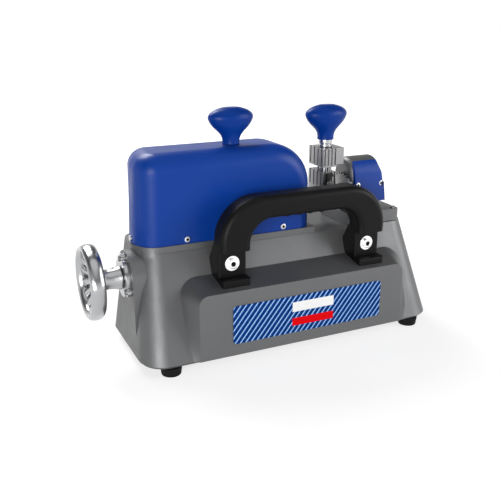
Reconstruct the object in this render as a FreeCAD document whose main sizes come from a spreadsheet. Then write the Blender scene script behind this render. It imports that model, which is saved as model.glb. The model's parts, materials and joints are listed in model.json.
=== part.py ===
"""Key duplicating machine: a bench machine that copies a key with a small disc cutter.

The handwheel at the +X end turns a feed screw, which pushes a ram out of the hood. The ram
carries a screw vise for the key blank past the cutter, which a belt turns in the head at the
-X end. +Y is the rear, with the carry handle and the label panel, and +Z is up.
"""
import FreeCAD, Part
import math
import os
import re
from types import SimpleNamespace

Vector = FreeCAD.Vector

# Driving dimensions in millimetres. X and Y are measured from the middle of the base.
SIZES = {
    # Base casting
    "base_half_length": 170,
    "base_front_y": -70,
    "base_rear_y": 68,
    "base_corner": 26,
    "deck_height": 101,
    "deck_half_length": 155,
    "deck_front_y": -60,
    "deck_rear_y": 25,
    "deck_corner": 20,
    "casting_wall": 5,
    "deck_thickness": 6,
    "plate_thickness": 3,
    "plate_inset": 3,
    "post_radius": 6,
    "post_hole": 15,
    "front_post_inset": 48,
    "front_post_y": -40,
    "rear_post_inset": 13,
    "rear_post_y": 45,
    # Rear panel
    "panel_x": -2,
    "panel_length": 236,
    "panel_rear_y": 71.6,
    "panel_height": 68.5,
    "panel_corner": 10,
    "panel_back_x": -6.5,
    "panel_back_length": 265,
    "panel_back_corner": 20,
    "panel_rise": 8.5,
    "label_length": 173,
    "label_height": 40.5,
    "label_thickness": 0.8,
    "label_corner": 4,
    "label_drop": 15.5,
    "label_x": -5.5,
    # Feet
    "foot_height": 9,
    "foot_radius": 11,
    "foot_taper": 1.2,
    "foot_inset": 28,
    "foot_y": 58,
    # Screws
    "small_screw": 1.5,
    "small_head": 3,
    "medium_screw": 2.5,
    "medium_head": 5.2,
    "screw_clearance": 0.1,
    # Hood
    "seat_height": 6.5,
    "seat_lip": 1.5,
    "hood_left_x": 158.5,
    "hood_nose_y": -4,
    "hood_nose_half": 8,
    "hood_nose_lean": 4,
    "hood_nose_round": 24,
    "hood_corner_x": 147,
    "hood_corner_lean": 1.5,
    "hood_corner_round": 20,
    "hood_right_x": -34.5,
    "hood_rear_y": 23,
    "hood_front_y": -45,
    "hood_height": 90,
    "hood_wall": 3,
    "hood_right_round": 45,
    "hood_edge_round": 18,
    "lug_length": 14,
    "lug_depth": 4,
    "lug_height": 9,
    "hood_screw_height": 4.6,
    "hood_screw_left_x": 109,
    "hood_screw_right_x": 2,
    # Carry handle
    "handle_shift": -3,
    "handle_span": 188,
    "handle_leg": 32,
    "handle_rise": 89,
    "handle_grip": 23,
    "handle_front_y": 39,
    "handle_rear_y": 65,
    "handle_round": 7,
    "handle_step": 37,
    "handle_foot": 30,
    "handle_foot_inset": 0.5,
    "handle_foot_front_y": 28,
    "handle_foot_rear_y": 54,
    "toe_height": 9,
    "toe_round": 2.5,
    "handle_corner": 44,
    "handle_inner_corner": 24,
    "finger_ribs": 4,
    "finger_pitch": 13,
    "finger_radius": 6,
    "finger_stand": 1.6,
    "handle_screw_inset": 15.5,
    "handle_screw_drop": 10,
    "handle_pocket": 8,
    "handle_pocket_depth": 2,
    # Feed
    "feed_y": 0,
    "feed_height": 77,
    "feed_screw_radius": 5,
    "feed_screw_end_x": -10,
    "boss_radius": 27,
    "boss_stand": 8,
    "bush_radius": 9,
    "bush_flange_radius": 20,
    "bush_flange": 5,
    "bush_lobe_radius": 5,
    "wheel_radius": 38.5,
    "wheel_rim": 8,
    "wheel_rim_width": 15,
    "wheel_offset": 23,
    "wheel_hub_radius": 12,
    "wheel_waist": 10.5,
    "wheel_flare": 14,
    "wheel_lobes": 9,
    "lobe_groove": 10,
    "lobe_depth": 1.6,
    "wheel_spokes": 15,
    "spoke_width": 4,
    "spoke_thickness": 6,
    "end_block": 12,
    "nut_radius": 7,
    "nut_length": 24,
    "yoke_x": 24,
    "yoke_length": 18,
    "yoke_width": 18,
    "feed_in": 6,
    "feed_out": 14,
    "slot_margin": 3,
    # Ram
    "ram_y": -5,
    "ram_height": 20,
    "ram_width": 20,
    "ram_end_x": -69,
    "ram_tail_x": 60,
    "way_floor": 10,
    "way_wall": 5,
    "way_left_x": 100,
    "way_gap": 7,
    "gib_thickness": 3,
    "gib_overlap": 1.5,
    "slide_gap": 0.3,
    # Vise
    "jaw_length": 17,
    "jaw_depth": 31,
    "jaw_rear_y": 11,
    "lower_jaw_height": 24,
    "upper_jaw_height": 20,
    "key_gap": 5.4,
    "overhang": 10,
    "fin_groove": 1.8,
    "fin_depth": 2,
    "fin_count": 4,
    "jaw_screw_x": -63,
    "jaw_screw_radius": 4,
    "stem_radius": 7.5,
    "stem_height": 8,
    "jaw_pin_radius": 2.5,
    "jaw_pin_spacing": 20,
    "knob_width": 50,
    "knob_depth": 28,
    "knob_neck": 18,
    "knob_height": 37,
    "stop_x": -58,
    "stop_thickness": 2.5,
    "stop_radius": 11,
    "stop_width": 4,
    "stop_pin_radius": 1.5,
    # Ram lock
    "lock_x": 47,
    "lock_y": -9,
    "lock_screw_radius": 3.5,
    "lock_bush_radius": 8,
    "lock_pad_radius": 4.5,
    "lock_pad": 3,
    # Spindle head
    "head_left_x": -86,
    "head_right_x": -126,
    "head_y": -4,
    "head_half_depth": 25,
    "head_height": 59,
    "head_draft": 8,
    "head_wall": 4,
    "head_round": 7,
    "plinth_left_x": -80,
    "plinth_right_x": -147,
    "plinth_front_y": -40,
    "plinth_rear_y": 23,
    "plinth_height": 14,
    "plinth_corner": 4,
    "cover_thickness": 4.5,
    "cover_length": 38,
    "cover_shift": -1,
    "cover_bottom": 12,
    "cover_start": 16.5,
    "cover_screw_height": 31,
    "spindle_y": 2,
    "spindle_height": 23,
    "spindle_radius": 6,
    "bearing_radius": 11,
    "bearing_width": 7,
    "bearing_boss": 3,
    "bearing_boss_length": 11,
    "cutter_radius": 20,
    "cutter_width": 4,
    "cutter_gap": 1,
    "cutter_teeth": 24,
    "nut_height": 4,
    "end_knob_radius": 5.5,
    "end_knob_length": 6,
    "pulley_radius": 8,
    "pulley_width": 9,
    "pulley_shift": -1,
    "belt_thickness": 2,
    "belt_margin": 3,
    # Motor
    "motor_radius": 22,
    "motor_length": 66,
    "motor_height": 45,
    "motor_shaft_radius": 4,
    "motor_plate": 4,
    "motor_plate_width": 56,
    "motor_plate_rise": 62,
    "motor_plate_foot": 24,
    # Electrics
    "board_length": 84,
    "board_width": 36,
    "board_thickness": 1.6,
    "board_x": 45,
    "board_y": 34,
    "standoff_height": 8,
    "standoff_radius": 3,
    "board_margin": 5,
    "inlet_width": 46,
    "inlet_height": 24,
    "inlet_depth": 18,
    "inlet_rise": 22,
    "rocker_width": 13,
    "rocker_height": 17,
    "rocker_depth": 6,
    "rocker_stand": 2,
    "trunnion_radius": 1.5,
    "trunnion_length": 2,
    "jack_radius": 4,
    # Fits
    "running_fit": 0.08,
    "seat_fit": 0.1,
}

# Places that follow from the driving dimensions.
PLACES = {
    "plate_z": "foot_height",
    "base_z": "foot_height + plate_thickness",
    "foot_x": "base_half_length - foot_inset",
    "front_post_x": "base_half_length - front_post_inset",
    "rear_post_x": "panel_length / 2 - rear_post_inset",
    "deck_z": "base_z + deck_height",
    "cavity_z": "deck_z - deck_thickness",
    "panel_z": "base_z + panel_height",
    "seat_z": "deck_z + seat_height",
    "hood_z": "seat_z + hood_height",
    "feed_z": "foot_height + feed_height",
    "rear_lean": "(base_rear_y - deck_rear_y) / deck_height",
    "panel_back_z": "panel_z + panel_rise",
    "panel_back_y": "base_rear_y - rear_lean * (panel_back_z - base_z)",
    "ledge_lean": "panel_rise / (panel_rear_y - panel_back_y)",
    "rear_post_z": "panel_z + ledge_lean * (panel_rear_y - rear_post_y) - casting_wall / 2",
    "end_lean": "(base_half_length - deck_half_length) / deck_height",
    "end_wall_x": "base_half_length - end_lean * (feed_z - base_z)",
    "boss_face_x": "end_wall_x + boss_stand",
    "way_top_z": "seat_z + way_floor",
    "ram_z": "way_top_z + slide_gap",
    "ram_top_z": "ram_z + ram_height",
    "way_half": "ram_width / 2 + slide_gap",
    "way_right_x": "hood_right_x + hood_wall + way_gap",
    "jaw_left_x": "ram_end_x + jaw_length",
    "jaw_y": "jaw_rear_y - jaw_depth / 2",
    "lower_jaw_z": "ram_top_z + lower_jaw_height",
    "stop_z": "ram_top_z + lower_jaw_height / 2",
    "upper_jaw_z": "lower_jaw_z + key_gap",
    "jaw_top_z": "upper_jaw_z + upper_jaw_height",
    "stem_z": "jaw_top_z + slide_gap",
    "knob_z": "stem_z + stem_height",
    "plinth_z": "deck_z + plinth_height",
    "head_z": "plinth_z + head_height",
    "head_x": "(head_left_x + head_right_x) / 2",
    "spindle_z": "plinth_z + spindle_height",
    "pulley_x": "head_x + pulley_shift",
    "cover_x": "head_x + cover_shift",
    "cover_screw_z": "plinth_z + cover_screw_height",
    "cover_face_y": "head_y + head_half_depth - cover_screw_height * tan(head_draft * 1 deg)",
    "cover_screw_y": "cover_face_y + cover_thickness / 2",
    "motor_z": "foot_height + motor_height",
    "motor_x": "pulley_x + pulley_width / 2 + slot_margin + motor_plate",
    "wheel_x": "boss_face_x + bush_flange + wheel_offset",
    "wheel_end_x": "wheel_x + wheel_rim_width",
    "handle_x": "panel_x + handle_shift",
    "handle_top_z": "panel_z + handle_rise",
    "handle_screw_z": "deck_z - handle_screw_drop",
    "handle_screw_spacing": "handle_span - 2 * handle_screw_inset",
    "hood_screw_z": "seat_z + hood_screw_height",
    "hood_screw_end_x": "hood_left_x - hood_nose_lean * (hood_screw_height - small_head) / hood_height",
    "label_z": "panel_z - label_drop - label_height",
    "origin_x": "(base_half_length - wheel_end_x) / 2",
    "origin_y": "-(base_front_y + panel_rear_y + label_thickness) / 2",
}

doc = FreeCAD.newDocument("key_duplicating_machine")


def fill_sheet(name, cells):
    """Make a spreadsheet with one aliased cell a row."""
    sheet = doc.addObject("Spreadsheet::Sheet", name)
    for row, (alias, content) in enumerate(cells.items(), start=1):
        sheet.set(f"A{row}", alias)
        sheet.setAlias(f"B{row}", alias)
        sheet.set(f"B{row}", content)
        doc.recompute()
    return sheet


def linked(text):
    """Turn the plain words of a formula into references to the two sheets."""
    def reference(match):
        word = match.group()
        if word in SIZES:
            return f"sizes.{word}"
        if word in PLACES:
            return f"places.{word}"
        return word
    return re.sub(r"[a-z_]+", reference, str(text))


sizes = fill_sheet("sizes", {alias: str(value) for alias, value in SIZES.items()})
places = fill_sheet("places", {alias: "=" + linked(formula).replace("places.", "")
                               for alias, formula in PLACES.items()})

# The same values as numbers, for the shapes that no primitive gives.
at = SimpleNamespace(
    **{alias: float(sizes.get(alias)) for alias in SIZES},
    **{alias: float(places.get(alias)) for alias in PLACES},
)

TURNS = {
    "x": FreeCAD.Rotation(Vector(0, 1, 0), 90),
    "y": FreeCAD.Rotation(Vector(1, 0, 0), -90),
    "z": FreeCAD.Rotation(),
}
subparts = []


def place(item, corner):
    """Bind an object's position to three formulas."""
    for axis, formula in zip("xyz", corner):
        item.setExpression(f"Placement.Base.{axis}", linked(formula))
    return item


def box(corner, length, width, height):
    """A block from its lowest corner."""
    item = doc.addObject("Part::Box", "block")
    item.setExpression("Length", linked(length))
    item.setExpression("Width", linked(width))
    item.setExpression("Height", linked(height))
    return place(item, corner)


def rod(start, radius, length, axis="z"):
    """A cylinder from the middle of its first face, along an axis."""
    item = doc.addObject("Part::Cylinder", "rod")
    item.setExpression("Radius", linked(radius))
    item.setExpression("Height", linked(length))
    item.Placement.Rotation = TURNS[axis]
    return place(item, start)


def taper(start, first_radius, last_radius, length, axis="z"):
    """A cone from the middle of its first face, along an axis."""
    item = doc.addObject("Part::Cone", "taper")
    item.setExpression("Radius1", linked(first_radius))
    item.setExpression("Radius2", linked(last_radius))
    item.setExpression("Height", linked(length))
    item.Placement.Rotation = TURNS[axis]
    return place(item, start)


def solid(shape):
    """A document object for a shape that no primitive gives."""
    item = doc.addObject("Part::Feature", "form")
    item.Shape = shape
    return item


def fuse(*items):
    """One solid from several."""
    item = doc.addObject("Part::MultiFuse", "joined")
    item.Shapes = list(items)
    item.Refine = True
    return item


def cut(base, *tools):
    """A solid with holes."""
    item = doc.addObject("Part::Cut", "pierced")
    item.Base = base
    item.Tool = tools[0] if len(tools) == 1 else fuse(*tools)
    return item


def subpart(label, *items):
    """Name a sub-part and set it in the machine's own frame."""
    item = doc.addObject("Part::Compound", label)
    item.Links = list(items)
    item.Label = label
    place(item, ("origin_x", "origin_y", 0))
    subparts.append(item)
    return item


def rounded_outline(low_x, high_x, low_y, high_y, corner, z):
    """A closed wire: a rectangle with round corners, at height z."""
    turn = corner * (1 - math.sqrt(0.5))
    edges = []
    corners = [
        ((low_x, low_y + corner), (low_x + turn, low_y + turn), (low_x + corner, low_y)),
        ((high_x - corner, low_y), (high_x - turn, low_y + turn), (high_x, low_y + corner)),
        ((high_x, high_y - corner), (high_x - turn, high_y - turn), (high_x - corner, high_y)),
        ((low_x + corner, high_y), (low_x + turn, high_y - turn), (low_x, high_y - corner)),
    ]
    for index, (first, middle, last) in enumerate(corners):
        edges.append(Part.Arc(*(Vector(x, y, z) for x, y in (first, middle, last))).toShape())
        following = corners[(index + 1) % 4][0]
        edges.append(Part.makeLine(Vector(*last, z), Vector(*following, z)))
    return Part.Wire(edges)


def casting_form(inset, bottom_z, top_z):
    """The flared body of the base, drawn in by a wall's thickness."""
    def outline(half_length, front_y, rear_y, corner, z):
        return rounded_outline(-half_length + inset, half_length - inset,
                               front_y + inset, rear_y - inset, corner - inset, z)
    sections = [
        outline(at.base_half_length, at.base_front_y, at.base_rear_y, at.base_corner, bottom_z),
        outline(at.deck_half_length, at.deck_front_y, at.deck_rear_y, at.deck_corner, top_z),
    ]
    return Part.makeLoft(sections, True, True)


def upright_plate(low_x, high_x, low_z, high_z, corner, front_y, depth, square_feet=False):
    """A plate in the XZ plane with round corners, drawn out along Y."""
    outline = rounded_outline(low_x, high_x, low_z, high_z, corner, 0)
    face = Part.Face(outline)
    plate = face.extrude(Vector(0, 0, -depth))
    if square_feet:
        foot = Part.makeBox(high_x - low_x, corner, depth, Vector(low_x, low_z, -depth))
        plate = plate.fuse(foot).removeSplitter()
    plate.rotate(Vector(), Vector(1, 0, 0), 90)
    plate.translate(Vector(0, front_y, 0))
    return plate


def panel_outline(middle, half, top_z, corner, depth_at):
    """A closed wire with two round upper corners. Its depth follows from the height."""
    bend = corner * (1 - math.sqrt(0.5))

    def point(side, inwards, z):
        return Vector(middle + side * (half - inwards), depth_at(z), z)

    def round_corner(side):
        return Part.Arc(point(side, 0, top_z - corner), point(side, bend, top_z - bend),
                        point(side, corner, top_z)).toShape()

    return Part.Wire([
        Part.makeLine(point(-1, 0, at.base_z), point(1, 0, at.base_z)),
        Part.makeLine(point(1, 0, at.base_z), point(1, 0, top_z - corner)),
        round_corner(1),
        Part.makeLine(point(1, corner, top_z), point(-1, corner, top_z)),
        round_corner(-1),
        Part.makeLine(point(-1, 0, top_z - corner), point(-1, 0, at.base_z)),
    ])


def panel_form(inset, sink):
    """The box at the rear, which widens and rises to the sloping wall and sinks into it."""
    def sloping(z):
        return at.base_rear_y - at.rear_lean * (z - at.base_z) - sink

    near = panel_outline(at.panel_x, at.panel_length / 2 - inset, at.panel_z - inset,
                         at.panel_corner - inset, lambda z: at.panel_rear_y - inset)
    back = panel_outline(at.panel_back_x, at.panel_back_length / 2 - inset, at.panel_back_z - inset,
                         at.panel_back_corner - inset, sloping)
    return Part.makeLoft([near, back], True, True)


def corner_rounds(corners, z, inset):
    """A closed wire through plan corners, each with its own radius, drawn in by an inset."""
    count = len(corners)
    rounds = []
    for index, (x, y, radius) in enumerate(corners):
        corner = Vector(x, y, z)
        before = (Vector(*corners[index - 1][:2], z) - corner).normalize()
        after = (Vector(*corners[(index + 1) % count][:2], z) - corner).normalize()
        half_angle = before.getAngle(after) / 2
        inwards = (before + after).normalize()
        if radius == 0:
            rounds.append([corner + inwards * (inset / math.sin(half_angle))])
            continue
        centre = corner + inwards * (radius / math.sin(half_angle))
        ends = []
        for side in (before, after):
            touch = corner + side * (radius / math.tan(half_angle))
            ends.append(centre + (touch - centre).normalize() * (radius - inset))
        rounds.append([ends[0], centre - inwards * (radius - inset), ends[1]])
    edges = []
    for index, points in enumerate(rounds):
        if len(points) > 1:
            edges.append(Part.Arc(*points).toShape())
        edges.append(Part.makeLine(points[-1], rounds[(index + 1) % count][0]))
    return Part.Wire(edges)


def hood_corners(share):
    """X, Y and radius of the hood's plan corners, at a share of its height."""
    corner = at.hood_corner_x + share * at.hood_corner_lean
    nose = at.hood_left_x - share * at.hood_nose_lean
    return [
        (at.hood_right_x, at.hood_rear_y, 0),
        (corner, at.hood_rear_y, at.hood_corner_round),
        (nose, at.hood_nose_y + at.hood_nose_half, at.hood_nose_round),
        (nose, at.hood_nose_y - at.hood_nose_half, at.hood_nose_round),
        (corner, at.hood_front_y, at.hood_corner_round),
        (at.hood_right_x, at.hood_front_y, 0),
    ]


def hood_plan(inset, bottom_z, height):
    """The hood's plan at its seat, drawn up as a prism, with the nose at +X."""
    return Part.Face(corner_rounds(hood_corners(0), bottom_z, inset)).extrude(Vector(0, 0, height))


def hood_form(inset):
    """The hood as a full solid, drawn in by a wall's thickness."""
    near = 0.01
    right = at.hood_right_x + inset
    top = at.hood_z - inset
    right_round = at.hood_right_round - inset
    block = Part.makeLoft([corner_rounds(hood_corners(0), at.seat_z, inset),
                           corner_rounds(hood_corners(1), top, inset)], True, True)
    shoulder = [edge for edge in block.Edges
                if edge.BoundBox.XMax < right + near and edge.BoundBox.ZMin > top - near]
    block = block.makeFillet(right_round, shoulder)
    rim = []
    for edge in block.Edges:
        bounds = edge.BoundBox
        on_top = bounds.ZMin > top - near and bounds.XLength > near
        on_right = bounds.YLength < near and bounds.XMax < right + right_round + near
        if on_top or (on_right and bounds.ZMax > at.seat_z + near):
            rim.append(edge)
    return block.makeFillet(at.hood_edge_round - inset, rim)


def arch_form(grow, low_x, length):
    """The head's arch, leaning in on both sides, drawn out along X."""
    draft = math.radians(at.head_draft)
    half = at.head_half_depth + grow / math.cos(draft)
    height = at.head_height + grow
    radius = (half * math.cos(draft) - height * math.sin(draft)) / (1 - math.sin(draft))
    centre_z = at.plinth_z + height - radius
    side_y = radius * math.cos(draft)
    side_z = centre_z + radius * math.sin(draft)

    def point(y, z):
        return Vector(low_x, at.head_y + y, z)

    outline = Part.Wire([
        Part.makeLine(point(-half, at.plinth_z), point(half, at.plinth_z)),
        Part.makeLine(point(half, at.plinth_z), point(side_y, side_z)),
        Part.Arc(point(side_y, side_z), point(0, centre_z + radius), point(-side_y, side_z)).toShape(),
        Part.makeLine(point(-side_y, side_z), point(-half, at.plinth_z)),
    ])
    return Part.Face(outline).extrude(Vector(length, 0, 0))


def knob_form(x, y, z):
    """A flattened bulb knob that flares from a round neck."""
    half_width = at.knob_width / 2
    half_depth = at.knob_depth / 2
    neck = at.knob_neck / 2
    # Height, and how far each section has opened from the neck to the full bulb
    profile = [(0, 0, 1), (0.17, 0.03, 1), (0.26, 0.14, 1), (0.37, 0.38, 1), (0.48, 0.65, 1), (0.6, 0.86, 1),
               (0.71, 0.97, 1), (0.81, 1, 1), (0.89, 1, 0.97), (0.95, 1, 0.88), (0.985, 1, 0.74),
               (1, 1, 0.55)]
    sections = []
    for share, opening, shrink in profile:
        across = (neck + (half_width - neck) * opening) * shrink
        through = (neck + (half_depth - neck) * opening) * shrink
        centre = Vector(x, y, z + share * at.knob_height)
        if across > through + 0.001:
            ring = Part.Ellipse(centre, across, through)
        else:
            ring = Part.Circle(centre, Vector(0, 0, 1), across)
        sections.append(Part.Wire([ring.toShape()]))
    return Part.makeLoft(sections, True, False)


def handle_form():
    """The carry handle's arch, with round edges, down to the step above its feet."""
    half = at.handle_span / 2
    depth = at.handle_rear_y - at.handle_front_y
    step_z = at.panel_z + at.handle_step
    outer = upright_plate(at.handle_x - half, at.handle_x + half, at.handle_top_z - 3 * at.handle_corner,
                          at.handle_top_z, at.handle_corner, at.handle_front_y, depth, square_feet=True)
    outer = outer.common(Part.makeBox(at.handle_span, depth, at.handle_rise,
                                      Vector(at.handle_x - half, at.handle_front_y, step_z)))
    inner_half = half - at.handle_leg
    opening = upright_plate(at.handle_x - inner_half, at.handle_x + inner_half,
                            at.panel_z - at.handle_grip, at.handle_top_z - at.handle_grip,
                            at.handle_inner_corner, at.handle_front_y - 1, depth + 2, square_feet=True)
    arch = outer.cut(opening)
    arch = arch.makeFillet(at.handle_round, upper_side_edges(arch, step_z))
    return arch.fuse(finger_ribs()).removeSplitter()


def finger_ribs():
    """The waves under the grip that the fingers lie between."""
    count = round(at.finger_ribs)
    middle_z = at.handle_top_z - at.handle_grip - at.finger_stand + at.finger_radius
    start_y = at.handle_front_y + at.handle_round
    length = at.handle_rear_y - at.handle_front_y - 2 * at.handle_round
    ribs = []
    for index in range(count):
        x = at.handle_x + (index - (count - 1) / 2) * at.finger_pitch
        rib = Part.makeCylinder(at.finger_radius, length, Vector(x, start_y, middle_z), Vector(0, 1, 0))
        ribs.append(rib.makeFillet(at.finger_stand, [edge for edge in rib.Edges if edge.Closed]))
    return ribs


def upper_side_edges(form, floor_z):
    """The edges of a form that lie in its two XZ sides, above a height."""
    found = []
    for edge in form.Edges:
        bounds = edge.BoundBox
        if bounds.YLength < 0.001 and bounds.ZMax > floor_z + 0.001:
            found.append(edge)
    return found


def handle_foot_form(side):
    """A foot of the handle: a recessed leg from the casting's wall, and a toe on the ledge."""
    middle = at.handle_x + side * (at.handle_span / 2 - at.handle_foot_inset - at.handle_foot / 2)
    low_x = middle - at.handle_foot / 2
    wall_y = at.handle_foot_front_y
    leg = Part.makeBox(at.handle_foot, at.handle_foot_rear_y - wall_y, at.handle_step + at.handle_round,
                       Vector(low_x, wall_y, at.panel_z))
    leg = leg.makeFillet(at.toe_round, [edge for edge in leg.Edges if edge.BoundBox.ZLength > at.handle_step])
    toe = Part.makeBox(at.handle_foot, at.handle_rear_y - wall_y, at.toe_height,
                       Vector(low_x, wall_y, at.panel_z))
    toe_edges = [edge for edge in toe.Edges if edge.BoundBox.YMin > wall_y + 1
                 and edge.BoundBox.ZMax > at.panel_z + 1]
    return leg.fuse(toe.makeFillet(at.toe_round, toe_edges)).removeSplitter()


def screw(start, radius, length, head_radius, head, axis, towards):
    """A round-headed screw. Start is under its head, and the shank goes against the head."""
    x, y, z = start
    move = {"x": 0, "y": 1, "z": 2}[axis]
    shank_start = [x, y, z]
    head_start = [x, y, z]
    if towards > 0:
        shank_start[move] = f"{start[move]} - ({length})"
    else:
        head_start[move] = f"{start[move]} - ({head})"
    shank = rod(shank_start, radius, length, axis)
    top = rod(head_start, head_radius, head, axis)
    return fuse(shank, top)


def four(x, y):
    """The four corners at plus and minus x and y."""
    return [(f"{sign_x} * {x}", f"{sign_y} * {y}") for sign_x in (-1, 1) for sign_y in (-1, 1)]


# Base: casting, bottom plate, feet, label
def make_base():
    """The hollow casting with its posts, boss, seat and openings."""
    outer = solid(casting_form(0, at.base_z, at.deck_z))
    panel = solid(panel_form(0, at.slot_margin))
    seat = solid(hood_plan(-at.seat_lip, at.deck_z - at.deck_thickness / 2,
                           at.seat_height + at.deck_thickness / 2))
    cavity = solid(casting_form(at.casting_wall, at.base_z, at.cavity_z))
    panel_cavity = solid(panel_form(at.casting_wall, at.casting_wall + at.slot_margin))
    boss_start = "(end_wall_x - casting_wall - slot_margin)"
    boss = rod((boss_start, "feed_y", "feed_z"), "boss_radius", f"boss_face_x - {boss_start}", "x")
    pad = box((boss_start, "feed_y - boss_radius", "base_z"), f"boss_face_x - {boss_start}",
              "2 * boss_radius", "feed_z - base_z")
    shell = fuse(cut(fuse(outer, panel, seat), cavity, panel_cavity), boss, pad)
    posts = [rod((x, y, "base_z"), "post_radius", f"{top} - base_z") for x, y, top in post_places()]
    post_holes = [rod((x, y, "base_z"), "small_screw + screw_clearance", "post_hole")
                  for x, y, top in post_places()]
    lugs = [box((x, y, "seat_z"), length, width, "lug_height") for x, y, length, width in lug_places()]
    lug_holes = hood_screw_rods("small_screw + screw_clearance")
    slot = box(("yoke_x - yoke_length / 2 - feed_in - slot_margin", "feed_y - yoke_width / 2 - slot_margin",
                "cavity_z - deck_thickness"), "yoke_length + feed_in + feed_out + 2 * slot_margin",
               "yoke_width + 2 * slot_margin", "3 * deck_thickness + seat_height")
    belt_slot = belt_opening("cavity_z - deck_thickness", "3 * deck_thickness")
    bore = rod(("end_wall_x - 2 * boss_radius", "feed_y", "feed_z"), "bush_radius + seat_fit",
               "3 * boss_radius", "x")
    inlet_hole = box(("-base_half_length - inlet_depth", "feed_y - inlet_width / 2 - seat_fit",
                      "base_z + inlet_rise - inlet_height / 2 - seat_fit"), "3 * inlet_depth",
                     "inlet_width + 2 * seat_fit", "inlet_height + 2 * seat_fit")
    handle_holes = [rod((x, "deck_rear_y - casting_wall - slot_margin", "handle_screw_z"),
                        "medium_screw + screw_clearance", "casting_wall + 5 * slot_margin", "y")
                    for x in handle_screw_places()]
    flange_holes = [rod(("boss_face_x - 2 * bush_flange", y, z), "small_screw + screw_clearance",
                        "3 * bush_flange", "x") for y, z in lobe_places()]
    plinth_holes = [rod((x, y, "deck_z - deck_thickness - slot_margin"), "small_screw + screw_clearance",
                        "deck_thickness + 2 * slot_margin") for x, y in plinth_screw_places()]
    subpart("base_casting", cut(fuse(shell, *posts, *lugs), *post_holes, *lug_holes, slot, belt_slot, bore,
                                inlet_hole, *handle_holes, *flange_holes, *plinth_holes))


def post_places():
    """X, Y and top of each post that the bottom plate is screwed to."""
    front_top = "(deck_z - deck_thickness / 2)"
    rear_top = "rear_post_z"
    front = [(f"{sign} * front_post_x", "front_post_y", front_top) for sign in (-1, 1)]
    rear = [(f"panel_x + {sign} * rear_post_x", "rear_post_y", rear_top) for sign in (-1, 1)]
    return front + rear


def lug_places():
    """Corner and plan size of each lug that a hood screw holds."""
    rear = "hood_rear_y - hood_wall - seat_fit - lug_depth"
    front = "hood_front_y + hood_wall + seat_fit"
    end = "hood_left_x - hood_nose_lean * lug_height / hood_height - hood_wall - seat_fit - lug_depth"
    places_of_lugs = []
    for x in ("hood_screw_left_x", "hood_screw_right_x"):
        for y in (rear, front):
            places_of_lugs.append((f"{x} - lug_length / 2", y, "lug_length", "lug_depth"))
    places_of_lugs.append((end, "hood_nose_y - hood_nose_half / 2", "lug_depth", "hood_nose_half"))
    return places_of_lugs


def hood_screw_rods(radius):
    """A rod along each hood screw, through the hood's wall and its lug."""
    reach = "(hood_wall + lug_depth + 2 * slot_margin)"
    rods = []
    for x in ("hood_screw_left_x", "hood_screw_right_x"):
        rods.append(rod((x, f"hood_rear_y - {reach} + slot_margin", "hood_screw_z"), radius, reach, "y"))
        rods.append(rod((x, "hood_front_y - slot_margin", "hood_screw_z"), radius, reach, "y"))
    rods.append(rod((f"hood_left_x - {reach} + slot_margin", "hood_nose_y", "hood_screw_z"), radius, reach,
                    "x"))
    return rods


def belt_opening(z, height):
    """The slot that the belt runs through."""
    return box(("pulley_x - pulley_width / 2 - slot_margin",
                "spindle_y - pulley_radius - belt_thickness - belt_margin", z),
               "pulley_width + 2 * slot_margin",
               "2 * (pulley_radius + belt_thickness + belt_margin)", height)


def handle_screw_places():
    """X of the two handle screws."""
    return [f"handle_x + {sign} * handle_screw_spacing / 2" for sign in (-1, 1)]


def lobe_places():
    """Y and Z of the three lobes of the feed bush's flange."""
    found = []
    for index in range(3):
        angle = 90 + 120 * index
        found.append((f"feed_y + bush_flange_radius * cos({angle} deg)",
                      f"feed_z + bush_flange_radius * sin({angle} deg)"))
    return found


def plinth_screw_places():
    """X and Y of the screws that hold the plinth down."""
    inset = "(2 * small_head - small_screw / 2)"
    rear = f"plinth_rear_y - {inset}"
    front = f"plinth_front_y + {inset}"
    right = f"plinth_right_x + {inset}"
    return [(right, rear), (right, front), (f"plinth_left_x - {inset}", front)]


def make_underside():
    """The bottom plate, the rubber feet and their screws."""
    plate = solid(rounded_outline_plate())
    foot_holes = [rod((x, y, "plate_z - plate_thickness"), "medium_screw + screw_clearance",
                      "3 * plate_thickness") for x, y in four("foot_x", "foot_y")]
    post_holes = [rod((x, y, "plate_z - plate_thickness"), "small_screw + screw_clearance",
                      "3 * plate_thickness") for x, y, top in post_places()]
    subpart("base_plate", cut(plate, *foot_holes, *post_holes))
    feet = []
    foot_screws = []
    for x, y in four("foot_x", "foot_y"):
        foot = taper((x, y, 0), "foot_radius - foot_taper", "foot_radius", "foot_height")
        pocket = rod((x, y, 0), "medium_head + screw_clearance", "foot_height / 2")
        hole = rod((x, y, 0), "medium_screw + screw_clearance", "foot_height")
        feet.append(cut(foot, pocket, hole))
        foot_screws.append(screw((x, y, "foot_height / 2"), "medium_screw",
                                 "foot_height / 2 + plate_thickness", "medium_head", "medium_screw", "z", -1))
    subpart("feet", *feet)
    subpart("foot_screws", *foot_screws)
    plate_screws = []
    for x, y, top in post_places():
        plate_screws.append(screw((x, y, "plate_z"), "small_screw", "plate_thickness + post_hole * 0.8",
                                  "small_head", "small_screw", "z", -1))
    subpart("plate_screws", *plate_screws)


def rounded_outline_plate():
    """The bottom plate's outline, drawn in from the casting's edge."""
    inset = at.plate_inset
    outline = rounded_outline(-at.base_half_length + inset, at.base_half_length - inset,
                              at.base_front_y + inset, at.base_rear_y - inset,
                              at.base_corner - inset, at.plate_z)
    return Part.Face(outline).extrude(Vector(0, 0, at.plate_thickness))


def make_label():
    """The thin plate on the rear panel."""
    half = at.label_length / 2
    subpart("label_plate", solid(upright_plate(at.label_x - half, at.label_x + half, at.label_z,
                                               at.label_z + at.label_height, at.label_corner,
                                               at.panel_rear_y, at.label_thickness)))


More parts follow.
